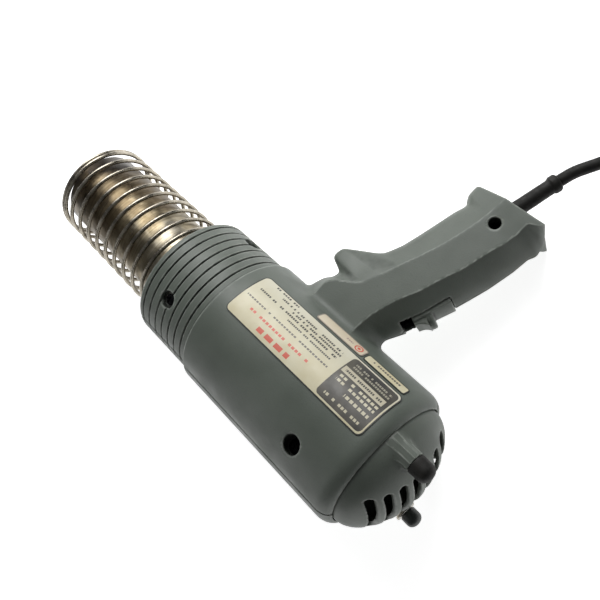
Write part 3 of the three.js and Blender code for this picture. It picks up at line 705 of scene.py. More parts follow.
def housing_plastic():
    """Moulded grey-green plastic with an eggshell grain, a painted highlight along its edges, painted
    shade in its corners and holes, and scuffs.
    """
    f = Finish("housing_plastic", Specular_IOR_Level=0.42)
    cloud = f.noise(38, 3.0)
    colour = f.mix(f.between(cloud, 0.35, 0.65), (0.094, 0.110, 0.092), (0.122, 0.140, 0.119))
    speck = f.noise(0.9, 2.0)
    colour = f.mix(f.between(speck, 0.62, 0.72, 0, 0.35), colour, (0.076, 0.088, 0.076))
    # painted shade: corners and holes darkened to near black, broken up by noise
    corner_shade = f.math("MULTIPLY", f.attribute("pit"), f.between(f.noise(7, 4.0), 0.25, 0.7, 0.7, 1.2))
    colour = f.mix(f.between(corner_shade, 0.35, 0.8, 0, 0.85), colour, (0.016, 0.018, 0.015))
    # painted highlight: a lighter line along sharp edges and ridges, broken up by noise
    edge_highlight = f.math("MULTIPLY", f.between(f.attribute("edge"), 0.15, 0.4),
                 f.between(f.noise(4, 5.0), 0.38, 0.62, 0.35, 1.0))
    colour = f.mix(f.math("MULTIPLY", edge_highlight, 0.55), colour, (0.27, 0.29, 0.26))
    scuff = f.noise(2.2, 6.0, f.stretched((0.22, 1.0, 1.0)), 0.62, 1.4)
    colour = f.mix(f.between(scuff, 0.70, 0.78, 0, 0.4), colour, (0.22, 0.25, 0.22))
    f.set(Base_Color=colour, Roughness=f.between(f.noise(11, 4.0), 0.3, 0.7, 0.40, 0.56))
    f.bump(f.noise(0.55, 2.0), 0.035)
    f.bump(f.cells(1.1), 0.02)
    return f.material


def dark_plastic():
    f = Finish("dark_plastic", Specular_IOR_Level=0.5)
    tone = f.noise(6, 4.0)
    f.set(Base_Color=f.mix(f.between(tone, 0.3, 0.7), (0.022, 0.025, 0.023), (0.038, 0.043, 0.040)),
          Roughness=f.between(tone, 0.3, 0.7, 0.3, 0.48))
    f.bump(f.noise(0.6, 2.0), 0.03)
    return f.material


def black_rubber():
    f = Finish("black_rubber", Specular_IOR_Level=0.3)
    dust = f.noise(5, 5.0)
    colour = f.mix(f.between(dust, 0.3, 0.75), (0.006, 0.006, 0.005), (0.014, 0.013, 0.011))
    f.set(Base_Color=colour, Roughness=f.between(f.noise(3, 4.0), 0.3, 0.7, 0.5, 0.72))
    f.bump(f.noise(0.5, 3.0), 0.05)
    return f.material


def steel(name, light, dark, rough, brushed=(0.05, 1.0, 1.0)):
    """Worked steel, with marks drawn out along one direction."""
    f = Finish(name, Metallic=1.0)
    draw = f.noise(0.8, 4.0, f.stretched(brushed))
    stain = f.noise(6, 4.0)
    share = f.math("MULTIPLY_ADD", draw, 0.4, f.math("MULTIPLY", stain, 0.6))
    colour = f.mix(f.between(share, 0.38, 0.62), dark, light)
    f.set(Base_Color=colour, Roughness=f.between(stain, 0.3, 0.7, rough - 0.08, rough + 0.08))
    f.bump(draw, 0.02)
    return f.material


def heated_steel():
    """Rolled sheet that the heat has tinted from straw to brown, more towards the nozzle."""
    f = Finish("heated_steel", Metallic=1.0)
    low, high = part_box("outlet_tube")
    length = f.between(f.parts(f.place)[0], low.x / MM, high.x / MM)
    ragged = f.noise(16, 5.0)
    heat = f.math("ADD", length, f.between(ragged, 0.3, 0.7, -0.14, 0.14))
    tint = f.ramp(heat, (0.0, (0.46, 0.43, 0.37)), (0.40, (0.44, 0.405, 0.33)),
                  (0.58, (0.33, 0.28, 0.19)), (0.70, (0.20, 0.155, 0.095)),
                  (0.84, (0.25, 0.20, 0.13)), (0.95, (0.12, 0.095, 0.065)),
                  (1.0, (0.06, 0.05, 0.04)))
    cloud = f.noise(11, 4.0, f.stretched((0.5, 1.0, 1.0)), 0.6, 0.8)
    tint = f.mix(f.between(cloud, 0.36, 0.66, 0.75, 0.0), tint, (0.42, 0.38, 0.30), "MULTIPLY")
    draw = f.noise(0.7, 5.0, f.stretched((1.0, 0.04, 0.04)))
    tint = f.mix(f.between(draw, 0.4, 0.65, 0, 0.5), tint, (0.30, 0.27, 0.22), "MULTIPLY")
    spot = f.noise(2.5, 4.0)
    tint = f.mix(f.between(spot, 0.66, 0.72, 0, 0.55), tint, (0.12, 0.09, 0.06))
    f.set(Base_Color=tint, Roughness=f.between(f.noise(9, 4.0), 0.3, 0.7, 0.26, 0.42))
    f.bump(f.noise(13, 2.0), 0.5)
    f.bump(draw, 0.015)
    return f.material


def metal(name, light, dark, rough):
    return steel(name, light, dark, rough, (1.0, 1.0, 1.0))


def mineral(name, light, dark, rough, grain):
    """Ceramic, mica or carbon: flat colour broken by grain and pits."""
    f = Finish(name, Specular_IOR_Level=0.3)
    tone = f.noise(grain * 6, 5.0)
    colour = f.mix(f.between(tone, 0.3, 0.7), dark, light)
    f.set(Base_Color=colour, Roughness=f.between(tone, 0.3, 0.7, rough - 0.1, rough + 0.05))
    f.bump(f.noise(grain, 3.0), 0.08)
    return f.material


FINISHES = {
    "housing_plastic": housing_plastic(),
    "dark_plastic": dark_plastic(),
    "black_rubber": black_rubber(),
    "bright_steel": steel("bright_steel", (0.46, 0.42, 0.35), (0.22, 0.20, 0.16), 0.27),
    "heated_steel": heated_steel(),
}
for make, name, *look in (
        (metal, "black_steel", (0.014, 0.014, 0.015), (0.007, 0.007, 0.008), 0.6),
        (metal, "motor_steel", (0.42, 0.42, 0.42), (0.28, 0.28, 0.28), 0.4),
        (metal, "copper", (0.80, 0.42, 0.26), (0.55, 0.26, 0.15), 0.35),
        (metal, "brass", (0.80, 0.62, 0.33), (0.58, 0.42, 0.20), 0.28),
        (metal, "resistance_wire", (0.30, 0.26, 0.22), (0.16, 0.14, 0.12), 0.45),
        (mineral, "ceramic_white", (0.72, 0.69, 0.62), (0.60, 0.56, 0.48), 0.6, 0.5),
        (mineral, "mica_brown", (0.48, 0.40, 0.28), (0.34, 0.27, 0.18), 0.5, 0.8),
        (mineral, "carbon", (0.035, 0.035, 0.036), (0.02, 0.02, 0.02), 0.7, 0.3),
        (mineral, "wire_sleeving", (0.55, 0.52, 0.46), (0.40, 0.37, 0.32), 0.7, 0.4)):
    FINISHES[name] = make(name, *look)


# ---- the labels' print ----

RIM = 0.6  # the width of a label's dark border


def label_base(f, x, s, width, depth, corner):
    """Aged cream foil, yellower at its upper edge, with a dark rim: the colour under the print."""
    stain = f.noise(9, 5.0)
    colour = f.mix(f.between(stain, 0.35, 0.68), (0.585, 0.53, 0.345), (0.64, 0.60, 0.43))
    faded = f.between(s, 10, 27, 0, 0.7)
    colour = f.mix(faded, colour, (0.60, 0.585, 0.49))
    scratch = f.noise(1.6, 5.0, f.stretched((1.0, 0.25, 0.25)), 0.6, 1.0)
    colour = f.mix(f.between(scratch, 0.66, 0.74, 0, 0.5), colour, (0.42, 0.39, 0.29))
    rim = round_box(f, x, s, (width / 2, depth / 2), (width / 2, depth / 2), corner)
    colour = f.mix(f.math("GREATER_THAN", rim, -RIM), colour, (0.022, 0.024, 0.021))
    f.set(Roughness=f.between(f.noise(5, 4.0), 0.3, 0.7, 0.30, 0.46))
    f.bump(f.noise(0.45, 2.0), 0.02)
    return colour


def round_box(f, x, s, middle, half, corner):
    """Distance out from a box with rounded corners on a label's map, near its edge."""
    past = []
    for value, centre, reach in zip((x, s), middle, half):
        off = f.math("ABSOLUTE", f.math("SUBTRACT", value, centre))
        past.append(f.math("MAXIMUM", f.math("SUBTRACT", off, reach - corner), 0.0))
    squares = [f.math("MULTIPLY", item, item) for item in past]
    return f.math("SUBTRACT", f.math("SQRT", f.math("ADD", *squares)), corner)


def print_block(f, x, s, span, rows, line, mark, seed):
    """A mask of short dashes in rows: a plain stand-in for print, with no letters in it."""
    area = f.math("MULTIPLY", in_span(f, x, *span), in_span(f, s, *rows))
    row = f.math("DIVIDE", f.math("SUBTRACT", s, rows[0]), line)
    band = f.math("COMPARE", f.math("FRACT", row), 0.5, 0.27)
    number = f.math("MULTIPLY_ADD", f.math("FLOOR", row), 3.7, seed)
    along = f.math("ADD", f.math("DIVIDE", x, mark), number)
    chance = f.tree.nodes.new("ShaderNodeTexWhiteNoise")
    chance.noise_dimensions = "2D"
    pair = f.tree.nodes.new("ShaderNodeCombineXYZ")
    f.put(pair.inputs[0], f.math("FLOOR", along))
    f.put(pair.inputs[1], number)
    f.put(chance.inputs["Vector"], pair.outputs[0])
    shown = f.math("GREATER_THAN", chance.outputs["Value"], 0.16)
    gap = f.math("COMPARE", f.math("FRACT", along), 0.5, 0.36)
    return f.math("MULTIPLY", f.math("MULTIPLY", area, band), f.math("MULTIPLY", shown, gap))


def in_span(f, value, low, high):
    return f.math("COMPARE", value, (low + high) / 2, (high - low) / 2)


def print_rows(f, x, s, colour, blocks):
    """A colour with blocks of dashes over it, each given as for print_block and with its tone."""
    for *block, tone in blocks:
        colour = f.mix(print_block(f, x, s, *block), colour, tone)
    return colour


def main_label_finish(sizes):
    """Cream label: a dark plate at its rear end, and rows of plain marks in red and grey."""
    f = Finish("main_label", Specular_IOR_Level=0.5)
    x, s, _ = f.parts(f.uv)
    colour = label_base(f, x, s, *sizes)
    ink = (0.055, 0.052, 0.045)
    red = (0.60, 0.10, 0.055)
    colour = print_rows(f, x, s, colour, (
        ((71, 91), (27.0, 29.2), 2.2, 1.6, 2.0, ink),
        ((36, 80), (24.0, 26.2), 2.2, 1.3, 5.0, ink),
        ((35, 70), (21.8, 24.0), 2.2, 1.3, 6.0, ink),
        ((36, 92), (19.4, 21.6), 2.2, 1.4, 7.0, ink),
        ((37, 68), (16.8, 18.6), 1.8, 1.2, 9.0, ink),
        ((35, 94), (12.8, 14.6), 1.8, 1.9, 10.0, (0.13, 0.12, 0.10)),
        ((43, 86), (7.6, 10.2), 2.6, 2.4, 8.0, red),
        ((52, 75), (1.6, 6.4), 4.8, 7.0, 13.0, red)))
    worn_tone = f.mix(f.between(f.noise(14, 4.0), 0.35, 0.65),
                      (0.026, 0.025, 0.022), (0.085, 0.078, 0.062))
    plate = round_box(f, x, s, (16.0, 15.1), (14.6, 13.6), 2.4)
    colour = f.mix(f.math("LESS_THAN", plate, 0.0), colour, worn_tone)
    panel = f.math("MULTIPLY", in_span(f, x, 3.5, 29.8), in_span(f, s, 17.6, 21.4))
    colour = f.mix(panel, colour, (0.52, 0.48, 0.36))
    light = (0.56, 0.52, 0.38)
    colour = print_rows(f, x, s, colour, (
        ((4.5, 27), (3.2, 5.8), 2.6, 2.0, 21.0, light),
        ((3.5, 19), (8.0, 11.0), 3.0, 2.6, 22.0, light),
        ((3.5, 28), (11.8, 16.8), 2.6, 2.5, 25.0, light),
        ((5.0, 28), (18.4, 20.6), 2.2, 1.2, 27.0, ink),
        ((4.0, 27), (22.4, 26.6), 2.1, 1.3, 29.0, (0.34, 0.32, 0.25))))
    return f.set(Base_Color=colour).material


def rating_label_finish(sizes):
    """Cream label with one plain red ring and a few grey marks."""
    f = Finish("rating_label", Specular_IOR_Level=0.5)
    x, s, _ = f.parts(f.uv)
    colour = f.mix(0.45, label_base(f, x, s, *sizes), (0.60, 0.50, 0.42))
    across = f.math("SUBTRACT", x, 4.4)
    down = f.math("SUBTRACT", s, 3.6)
    off = f.math("SQRT", f.math("ADD", f.math("MULTIPLY", across, across),
                                f.math("MULTIPLY", down, down)))
    red = (0.60, 0.10, 0.06)
    colour = f.mix(f.math("COMPARE", off, 2.1, 0.35), colour, red)
    colour = f.mix(f.math("LESS_THAN", off, 0.9), colour, red)
    marks = print_block(f, x, s, (8.5, 14.5), (2.6, 4.8), 2.2, 1.3, 3.0)
    colour = f.mix(marks, colour, (0.35, 0.25, 0.22))
    return f.set(Base_Color=colour).material


def inspection_label_finish(sizes):
    """Cream label with one row of grey marks."""
    f = Finish("inspection_label", Specular_IOR_Level=0.5)
    x, s, _ = f.parts(f.uv)
    colour = label_base(f, x, s, *sizes)
    marks = print_block(f, x, s, (3.0, 22.0), (2.2, 4.6), 2.4, 1.5, 7.0)
    return f.set(Base_Color=f.mix(marks, colour, (0.10, 0.09, 0.08))).material


# ---- the housing ----

SEAM_HALF = 0.34
# where the halves' joint meets the barrel's surface, as distances to the right and up
SEAM_CREST = (BODY_R * math.sin(math.radians(PARTING_TURN)),
              BODY_R * math.cos(math.radians(PARTING_TURN)))
SEAM_REACH = 1.3


def make_housing():
    """The two halves, on a grid that is finer at the shoulders, the grooves and the joint."""
    grooves = [GROOVE_FIRST + i * GROOVE_PITCH for i in range(GROOVE_COUNT)]
    fine_x = [(-2.03, 4, 0.5), (BODY_FRONT - 2, BODY_FRONT + 2, 0.5)]
    fine_x += [(x - 0.9, x + 0.9, 0.3) for x in grooves]
    xs = lines(-2.03, COLLAR_FRONT + 1.5, 1.15, fine_x)
    fine_z = [(GRIP_END - 0.6, GRIP_END + 5, 0.5),
              (SEAM_CREST[1] - SEAM_REACH, SEAM_CREST[1] + SEAM_REACH, 0.3)]
    zs = lines(GRIP_END - 2.07, BODY_R + 2, 1.1, fine_z)
    for side, name in ((-1, "right_housing"), (1, "left_housing")):
        def half(x, y, z):
            return both(housing_field(x, y, z), SEAM_HALF - side * parting(y, z), 0.8)

        inner, crest = (-24.43, -SEAM_CREST[0]) if side > 0 else (-1.57, SEAM_CREST[0])
        fine = [(-1.5, 1.5, 0.35), (16.2, 18.2, 0.5), (crest - SEAM_REACH, crest + SEAM_REACH, 0.3)]
        across = np.sort(side * lines(inner, BODY_R + 2, 1.1, sorted(fine)))
        mesh = field_mesh(name + "_shell", half, (xs, across, zs), GUN, skin=housing_skin)
        add_piece(mesh, "housing_plastic", "gun", [name])


# ---- the air dial ----


def dome_field(x, r, depth, radius):
    """A shallow dome about -X, carried on as a cylinder past X 0."""
    u, v = np.maximum(-x, 1e-3) / depth, np.maximum(r, 1e-3) / radius
    size = (u ** DOME_POWER + v ** DOME_POWER) ** (1 / DOME_POWER)
    slope = size ** (1 - DOME_POWER) * np.hypot(u ** (DOME_POWER - 1) / depth,
                                                v ** (DOME_POWER - 1) / radius)
    return np.where(x < 0, (size - 1) / slope, r - radius)


def dial_field(x, y, z):
    r = np.hypot(y, z)
    skirt = both(dome_field(x, r, DOME_DEPTH, DOME_R), x - 4.9, 0.4)
    flange = both(r - DOME_R - FLANGE, slab(x, 3.3, 4.9))
    shell = either(skirt, flange)
    for side in (-1, 1):
        aside = y - side * POST_OFF
        off = np.hypot(aside, z)
        ribs = 0.0
        if side < 0:
            turn = np.arctan2(z, aside)
            ribs = 0.45 * (1 - np.abs(np.sin(5 * turn + 0.6))) ** 2.5 - 0.2
        post = both(off - POST_R - ribs, slab(x, POST_STEP, -0.5), 0.5)
        shell = either(shell, post, 2.2)
    shell = both(shell, np.where(r > DOME_R + 0.4, x + 0.4, -9.0))
    hollow = dome_field(x, r, DOME_DEPTH - DOME_WALL, DOME_R - DOME_WALL)
    shell = less(either(shell, flange), hollow, 0.4)
    number = np.clip(np.round(z / SLOT_PITCH), -(SLOT_COUNT // 2), SLOT_COUNT // 2)
    past = np.maximum(np.abs(y) - SLOT_HALF + SLOT_W / 2, 0)
    slot = np.hypot(past, z - number * SLOT_PITCH) - SLOT_W / 2
    return less(shell, slot, 0.9)


def make_dial():
    xs = lines(-DOME_DEPTH - 1.07, 6, 0.75)
    reach = POST_OFF + POST_R + 1.3
    across = lines(-reach - 0.03, reach, 0.75)
    upward = lines(-DOME_R - 3.53, DOME_R + 3.5, 0.75)
    mesh = field_mesh("air_dial", dial_field, (xs, across, upward), DIAL)
    add_piece(mesh, "housing_plastic", "dial", ["intake_dial"])


def at_post(side):
    return DIAL @ Matrix.Translation((0, side * POST_OFF, 0))


def round_end(depth, radius, power, steps=8):
    """The profile of a rounded post end, from past its widest ring to the axis."""
    out = []
    for step in range(1, steps + 1):
        turn = math.pi / 2 * step / steps
        out.append([POST_END + depth * (1 - math.sin(turn)), radius * math.cos(turn) ** power])
    out[-1][1] = 0
    return out


def make_post_ends():
    back = POST_STEP - GAP
    tip_depth, tip_r = 4.2, POST_R - 0.1
    tip = rounded([[back, 0], [back, POST_R], [POST_END + tip_depth, tip_r]], 0.4)
    tip += round_end(tip_depth, tip_r, 0.8)
    add_piece(lathe("post_tip_cap", tip, at_post(-1), 48), "black_rubber", "dial", ["post_tip"])
    washer_back, inner, outer = back - 1.5, 1.9, 6
    ring = rounded([[back, inner], [back, outer], [washer_back, outer], [washer_back, inner],
                    [back, inner]], 0.35)
    add_piece(lathe("lock_washer_ring", ring[1:-1] + [ring[1]], at_post(1), 48), "bright_steel",
              "dial", ["lock_washer"])
    front, knob_depth, knob_r = back - 1.8, 3.4, 4.5
    knob = [[front, 0], [front, 3.6], [front - 0.7, knob_r], [POST_END + knob_depth, knob_r]]
    knob += round_end(knob_depth, knob_r, 0.9)
    add_piece(lathe("lock_knob_cap", knob, at_post(1), 48), "dark_plastic", "knob", ["lock_knob"])


# ---- the outlet: tube, burn guard and heater ----


def helix(radius, span, turns, shut, wire_pitch, per_turn=72):
    """Points of a coil along X, with some turns at the back and at the front wound shut."""
    pitch = (span[1] - span[0] - sum(shut) * wire_pitch) / (turns - sum(shut))
    points = []
    for i in range(int(turns * per_turn) + 1):
        turn = i / per_turn
        closed = min(turn, shut[0]) + max(0.0, turn - (turns - shut[1]))
        x = span[0] + closed * wire_pitch + (turn - closed) * pitch
        angle = 2 * math.pi * turn
        points.append((x, radius * math.cos(angle), -radius * math.sin(angle)))
    return points


def sheet_ring(span, radii, ease):
    """The profile of a tube from its front to its back, its edges eased."""
    (front, back), (inner, outer) = span, radii
    return eased_ring([[front, inner], [back, inner], [back, outer], [front, outer]], ease)


def make_outlet():
    wall = sheet_ring((TUBE_FRONT, TUBE_BACK), (TUBE_R - TUBE_WALL, TUBE_R), 0.5)
    add_piece(lathe("outlet_tube_sheet", wall, GUN, 144), "heated_steel", "gun", ["outlet_tube"])
    wire_pitch = 2 * WIRE_R + GUARD_PLAY
    span = (GUARD_BACK, GUARD_FRONT - WIRE_GROWTH)
    path = helix(GUARD_R, span, GUARD_TURNS, GUARD_SHUT, wire_pitch)
    add_piece(tube("spring_guard_wire", path, WIRE_R + WIRE_GROWTH, GUN), "bright_steel", "gun",
              ["spring_guard"])
    winding = helix(HEATING_R, HEATING_SPAN, HEATING_TURNS, (0, 0), 0)
    add_piece(tube("heating_coil_wire", winding, HEATING_WIRE_R, GUN, 8), "resistance_wire", "gun",
              ["heating_coil"])
    sleeve = sheet_ring(SLEEVE_SPAN, SLEEVE_R, 0.3)
    add_piece(lathe("heater_sleeve_tube", sleeve, GUN, 96), "mica_brown", "gun", ["heater_sleeve"])


# ---- screws, switch and labels ----


def make_screw(name, head_r, height, length, matrix, node):
    """A pan-head screw along X, its head from -height to 0, with a cross recess and a thread."""
    def field(x, y, z):
        r = np.hypot(y, z)
        crown = np.hypot(x - head_r * 1.4 + height, r) - head_r * 1.4
        head = both(both(r - head_r, slab(x, -height, 0)), crown, 0.5)
        wings = both(np.minimum(np.abs(y), np.abs(z)) - 0.42 - 0.1 * (-x),
                     np.maximum(np.abs(y), np.abs(z)) - head_r * 0.55)
        head = less(head, both(wings, x + height - 1.5), 0.15)
        wave = np.abs((x / 1.4 - np.arctan2(z, y) / (2 * math.pi)) % 1 - 0.5) * 2
        shank = both(r - SCREW_SHANK + 0.35 * wave, slab(x, -0.4, length), 0.3)
        return either(head, shank)

    across = lines(-head_r - 0.52, head_r + 0.5, 0.28)
    xs = lines(-height - 0.33, length + 0.5, 0.28)
    mesh = field_mesh(name, field, (xs, across, across), matrix)
    add_piece(mesh, "black_steel", "gun", [node])


def make_screws():
    quarter = Matrix.Rotation(math.pi / 2, 4, "Z")
    for screw, node, head_r, height, length in (
            (REAR_SCREW, "rear_housing_screw", 4.1, 2.2, 36),
            (GRIP_SCREW, "grip_housing_screw", 2.8, 2.0, 18)):
        place = Matrix.Translation((screw["x"], screw["head"] - GAP, screw["z"]))
        make_screw(node + "_steel", head_r, height, length, GUN @ place @ quarter, node)
    for i, angle in enumerate(CLAMP_ANGLES, 1):
        round_barrel = Matrix.Rotation(-math.radians(angle), 4, "X")
        place = round_barrel @ Matrix.Translation((CLAMP_X, -CLAMP_FLOOR - 0.8, 0)) @ quarter
        node = f"tube_clamp_screw_{i}"
        make_screw(node + "_steel", 3.4, 1.4, 0.4, GUN @ place, node)


def slider_field(x, y, z):
    """The slider in the slide's frame: a crowned plate, a round thumb ridge with a ramp above it,
    and a foot behind."""
    out = -x
    crown = -0.1 - 0.028 * y * y
    plate = both(both(out - crown, -4.6 - out), np.abs(y) - SLIDER_W / 2, 0.6)
    plate = both(plate, slab(z, SLOT_LOW + GAP, SLIDER_TOP - 2), 0.8)
    ridge_r, ridge_centre, ramp_half = 7.8, -3.4, 6.4
    ridge = both(np.hypot(out - ridge_centre, y * 1.08) - ridge_r, slab(z, -3.4, 0.2), 1.2)
    ramp_height = 0.6 + 3.0 * np.clip((7.0 - z) / 7, 0, 1) ** 2.6
    ramp = both(both(out - ramp_height, np.abs(y) - ramp_half, 1.2), slab(z, 0, 6.6))
    thumb = both(either(ridge, ramp, 0.5), -3.0 - out)
    foot = box_field(x - 6, y, z, (2.0, 2.5, 3.0), 0.4)
    return either(either(plate, thumb, 0.7), foot)


def make_slider():
    grid = (lines(-5.3, 9, 0.35), lines(-8.7, 8.6, 0.4),
            lines(SLOT_LOW - 0.21, SLIDER_TOP + 0.6, 0.35))
    mesh = field_mesh("switch_slider_cap", slider_field, grid, SLIDE)
    add_piece(mesh, "housing_plastic", "slider", ["switch_slider"])


LABEL_LIFT = 0.12
LABEL_THICK = 0.3
LABEL_STRIPS = 24


def make_label(name, span, arc, corner, finish):
    """A thin plate bent round the barrel, its corners rounded, with a map in millimetres."""
    width = span[1] - span[0]
    inner = BODY_R + LABEL_LIFT
    depth = math.radians(arc[0] - arc[1]) * inner
    border = []
    for cx, cs, start in ((width - corner, depth - corner, 0), (corner, depth - corner, 90),
                          (corner, corner, 180), (width - corner, corner, 270)):
        for step in range(7):
            turn = math.radians(start + 15 * step)
            border.append((cx + corner * math.cos(turn), cs + corner * math.sin(turn), 0))
    bm = bmesh.new()
    bm.faces.new([bm.verts.new(point) for point in border])
    for step in range(1, LABEL_STRIPS):
        everything = bm.verts[:] + bm.edges[:] + bm.faces[:]
        bmesh.ops.bisect_plane(bm, geom=everything, plane_co=(0, depth * step / LABEL_STRIPS, 0),
                               plane_no=(0, 1, 0))
    for item in bmesh.ops.extrude_face_region(bm, geom=bm.faces[:])["geom"]:
        if isinstance(item, bmesh.types.BMVert):
            item.co.z = LABEL_THICK
    layer = bm.loops.layers.uv.new("label")
    for face in bm.faces:
        for loop in face.loops:
            loop[layer].uv = loop.vert.co.xy
    for vertex in bm.verts:
        x, s, lift = vertex.co
        angle = math.radians(arc[0]) - s / inner
        radius = inner + lift
        vertex.co = (span[0] + x, -radius * math.cos(angle), radius * math.sin(angle))
    bmesh.ops.recalc_face_normals(bm, faces=bm.faces[:])
    mesh = bpy.data.meshes.new(name + "_foil")
    bm.to_mesh(mesh)
    bm.free()
    mesh.transform(GUN)
    mesh.shade_smooth()
    mesh.set_sharp_from_angle(angle=math.radians(CREASE))
    FINISHES[name] = finish((width, depth, corner))
    add_piece(mesh, name, "gun", [name])


def make_boot():
    """The cord's strain relief: a flange inside the grip, a long neck and a collar at its end."""
    bore, flange, collar, end = 3.4, 5.9, 4.85, BOOT_LENGTH
    profile = eased_ring([[0, bore], [0, flange], [1.6, flange], [1.6, 4.3], [end - 4.8, 4.0],
                          [end - 3.8, collar], [end - 1, collar], [end, 4.1], [end, bore]], 0.7)
    lean = Matrix.Translation(BOOT_TOP) @ Matrix.Rotation(math.radians(90 + BOOT_LEAN), 4, "Y")
    add_piece(lathe("cord_boot_sleeve", profile, GUN @ lean, 48), "black_rubber", "gun",
              ["cord_boot"])


# ---- the cord ----

CORD_R = 3.25
COIL_CENTRE = (-155.2, -148.9)
COIL_R = 36.0
COIL_COLUMN = 3.5
COIL_LIFT = 1.4
COIL_LAYER = 6.6
COIL_SECTION = (14.2, 26.6)
# the cord's way from the boot to the coil, and from the coil to the plug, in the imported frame
LEAD = [(-88.3, -109.3, 11.7), (-94.6, -119.9, 8.9), (-101.4, -131.7, 5.9), (-105.5, -139, 4.6),
        (-109.2, -145.3, 3.9), (-112.3, -151.5, 4.0), (-115.2, -157.3, 4.3), (-117.8, -162.4, 4.6)]
TAIL = [(-194.7, -143.0, 24.2), (-194.7, -136.5, 23.2), (-194.65, -130.2, 22.0),
        (-194.6, -124.3, 20.6), (-194.4, -118.0, 18.3), (-194, -111.7, 15.7), (-193.2, -105.9, 13.2),
        (-192, -100.2, 11.2), (-190.9, -95.8, 9.8), (-189.8, -91.7, 8.8), (-188.8, -87.8, 8.1),
        (-187.8, -83.7, 7.8)]
COIL_START = -26.7
COIL_TURNED = 2313.3
SHIFT = 90.0
CLIMB = 60.0


def eased(value):
    value = min(max(value, 0.0), 1.0)
    return value * value * (3 - 2 * value)


def coil_path(step=6.0):
    """The wound cord: each layer is two turns, one column beside the other. A shift to the other
    column and a climb to the next layer each end before the cord meets the last such move."""
    moves, start, window, sense = [], 0.0, 20.0, -2
    for number in range(7):
        shift = number % 2 == 0
        end = start + 360 - window
        window = SHIFT if shift else CLIMB
        moves.append((end - window, end, sense if shift else 0, 0 if shift else 1))
        start = end
        sense = -sense if shift else sense
    path = []
    for turned in np.arange(step, COIL_TURNED - step / 2, step):
        column, layer = 1.0, 0.0
        for begin, end, across, up in moves:
            done = eased((turned - begin) / (end - begin))
            column += across * done
            layer += up * done
        angle = math.radians(COIL_START - turned)
        radius = COIL_R + column * COIL_COLUMN
        path.append((COIL_CENTRE[0] + radius * math.cos(angle),
                     COIL_CENTRE[1] + radius * math.sin(angle),
                     COIL_LIFT + CORD_R + layer * COIL_LAYER))
    return path


def boot_point(distance):
    lean = math.radians(BOOT_LEAN)
    down = Vector((-math.sin(lean), 0, -math.cos(lean)))
    return GUN @ (Vector(BOOT_TOP) + down * distance)


def make_tie():
    """A strap round the coil's section."""
    half = [side / 2 + 0.45 for side in COIL_SECTION]
    thick, wide, corner = 0.8, 3.0, 3.2

    def field(x, y, z):
        a, b = [np.abs(c) - h + corner for c, h in zip((y, z), half)]
        off = np.hypot(np.maximum(a, 0), np.maximum(b, 0)) + np.minimum(np.maximum(a, b), 0)
        return both(slab(off, corner, corner + thick), np.abs(x) - wide, 0.3)

    across, upward = [lines(-h - thick - 0.6, h + thick + 0.6, 0.33) for h in half]
    grid = (lines(-wide - 0.45, wide + 0.5, 0.4), across, upward)
    place = Matrix.Translation(Vector((COIL_CENTRE[0], COIL_CENTRE[1] - COIL_R,
                                       COIL_LIFT + COIL_SECTION[1] / 2)) * MM)
    mesh = field_mesh("cord_tie_strap", field, grid, place @ Matrix.Scale(MM, 4))
    return add_piece(mesh, "dark_plastic", "gun", ["coil_tie"])


PLUG_BACK = (-187.6, -83.3, 7.8)
PLUG_HEADING = 78.5
# stations along the plug, with its half width and half thickness there
PLUG_SECTIONS = ((0.2, 4, 4), (9, 4.6, 4.4), (13, 9.5, 6.6), (20, 12, 7.5), (31, 12.4, 7.5),
                 (33, 12.2, 7.4))
BLADE_SPACING = 12.7


def plug_field(x, y, z):
    """A moulded plug: a neck, shoulders, and a flat body with finger grooves on its faces."""
    stations, half_y, half_z = zip(*PLUG_SECTIONS)
    half_y, half_z = np.interp(x, stations, half_y), np.interp(x, stations, half_z)
    power = 3.2
    size = ((np.abs(y) / half_y) ** power + (np.abs(z) / half_z) ** power) ** (1 / power)
    body = both((size - 1) * half_z, slab(x, 0.2, 33), 1.2)
    groove = np.abs((x - 15) % 3.4 - 1.7) - 0.5
    groove = both(both(groove, slab(x, 16, 29)), 6.9 - np.abs(z))
    return less(body, groove, 0.5)


def make_plug():
    turn = Matrix.Rotation(math.radians(PLUG_HEADING), 4, "Z")
    place = Matrix.Translation(Vector(PLUG_BACK) * MM) @ turn @ Matrix.Scale(MM, 4)
    grid = (lines(-0.53, 34, 0.55), lines(-13.2, 13, 0.6), lines(-8.2, 8, 0.55))
    mesh = field_mesh("plug_moulding", plug_field, grid, place)
    pieces = [add_piece(mesh, "black_rubber", "gun", ["plug_body"])]
    for side, word in ((-1, "right"), (1, "left")):
        def blade(x, y, z):
            nose = 1.2 * np.maximum(x - 48.5, 0)
            plate = box_field(x - 41.9, y, z, (8.6, 0.75, 3.2), 0.3)
            plate = both(plate, np.abs(z) + nose - 3.2, 0.5)
            return less(plate, np.hypot(x - 46.2, z) - 1.5, 0.2)

        grid = (lines(32.9, 51, 0.35), lines(-1.1, 1.1, 0.22), lines(-3.6, 3.6, 0.35))
        shift = Matrix.Translation((0, side * BLADE_SPACING / 2, 0))
        mesh = field_mesh(f"plug_{word}_blade", blade, grid, place @ shift)
        pieces.append(add_piece(mesh, "brass", "gun", [f"plug_blade_{word}"]))
    return pieces


def make_cord():
    """The mains cord: out of the boot, onto the coil, and to the plug."""
    start = boot_point(BOOT_LENGTH - GAP) / MM
    route = [tuple(start)] + LEAD + coil_path() + TAIL
    path = smooth_path(route, 2.6) * MM
    mesh = tube("mains_cord", path, CORD_R * MM, Matrix.Identity(4), 14, 0.1)
    cord = add_piece(mesh, "black_rubber", "gun", ["cord_lead", "cord_coil", "cord_tail"])
    pieces = [make_tie()] + make_plug()


# ---- camera, floor and light ----

CAMERA_AT = (-79.7, -344.1, -33.5)
CAMERA_FORWARD = (0.4559, 0.8900, 0.0038)
CAMERA_DOWN = (-0.5951, 0.3016, 0.7449)
CAMERA_LENS = 42.0


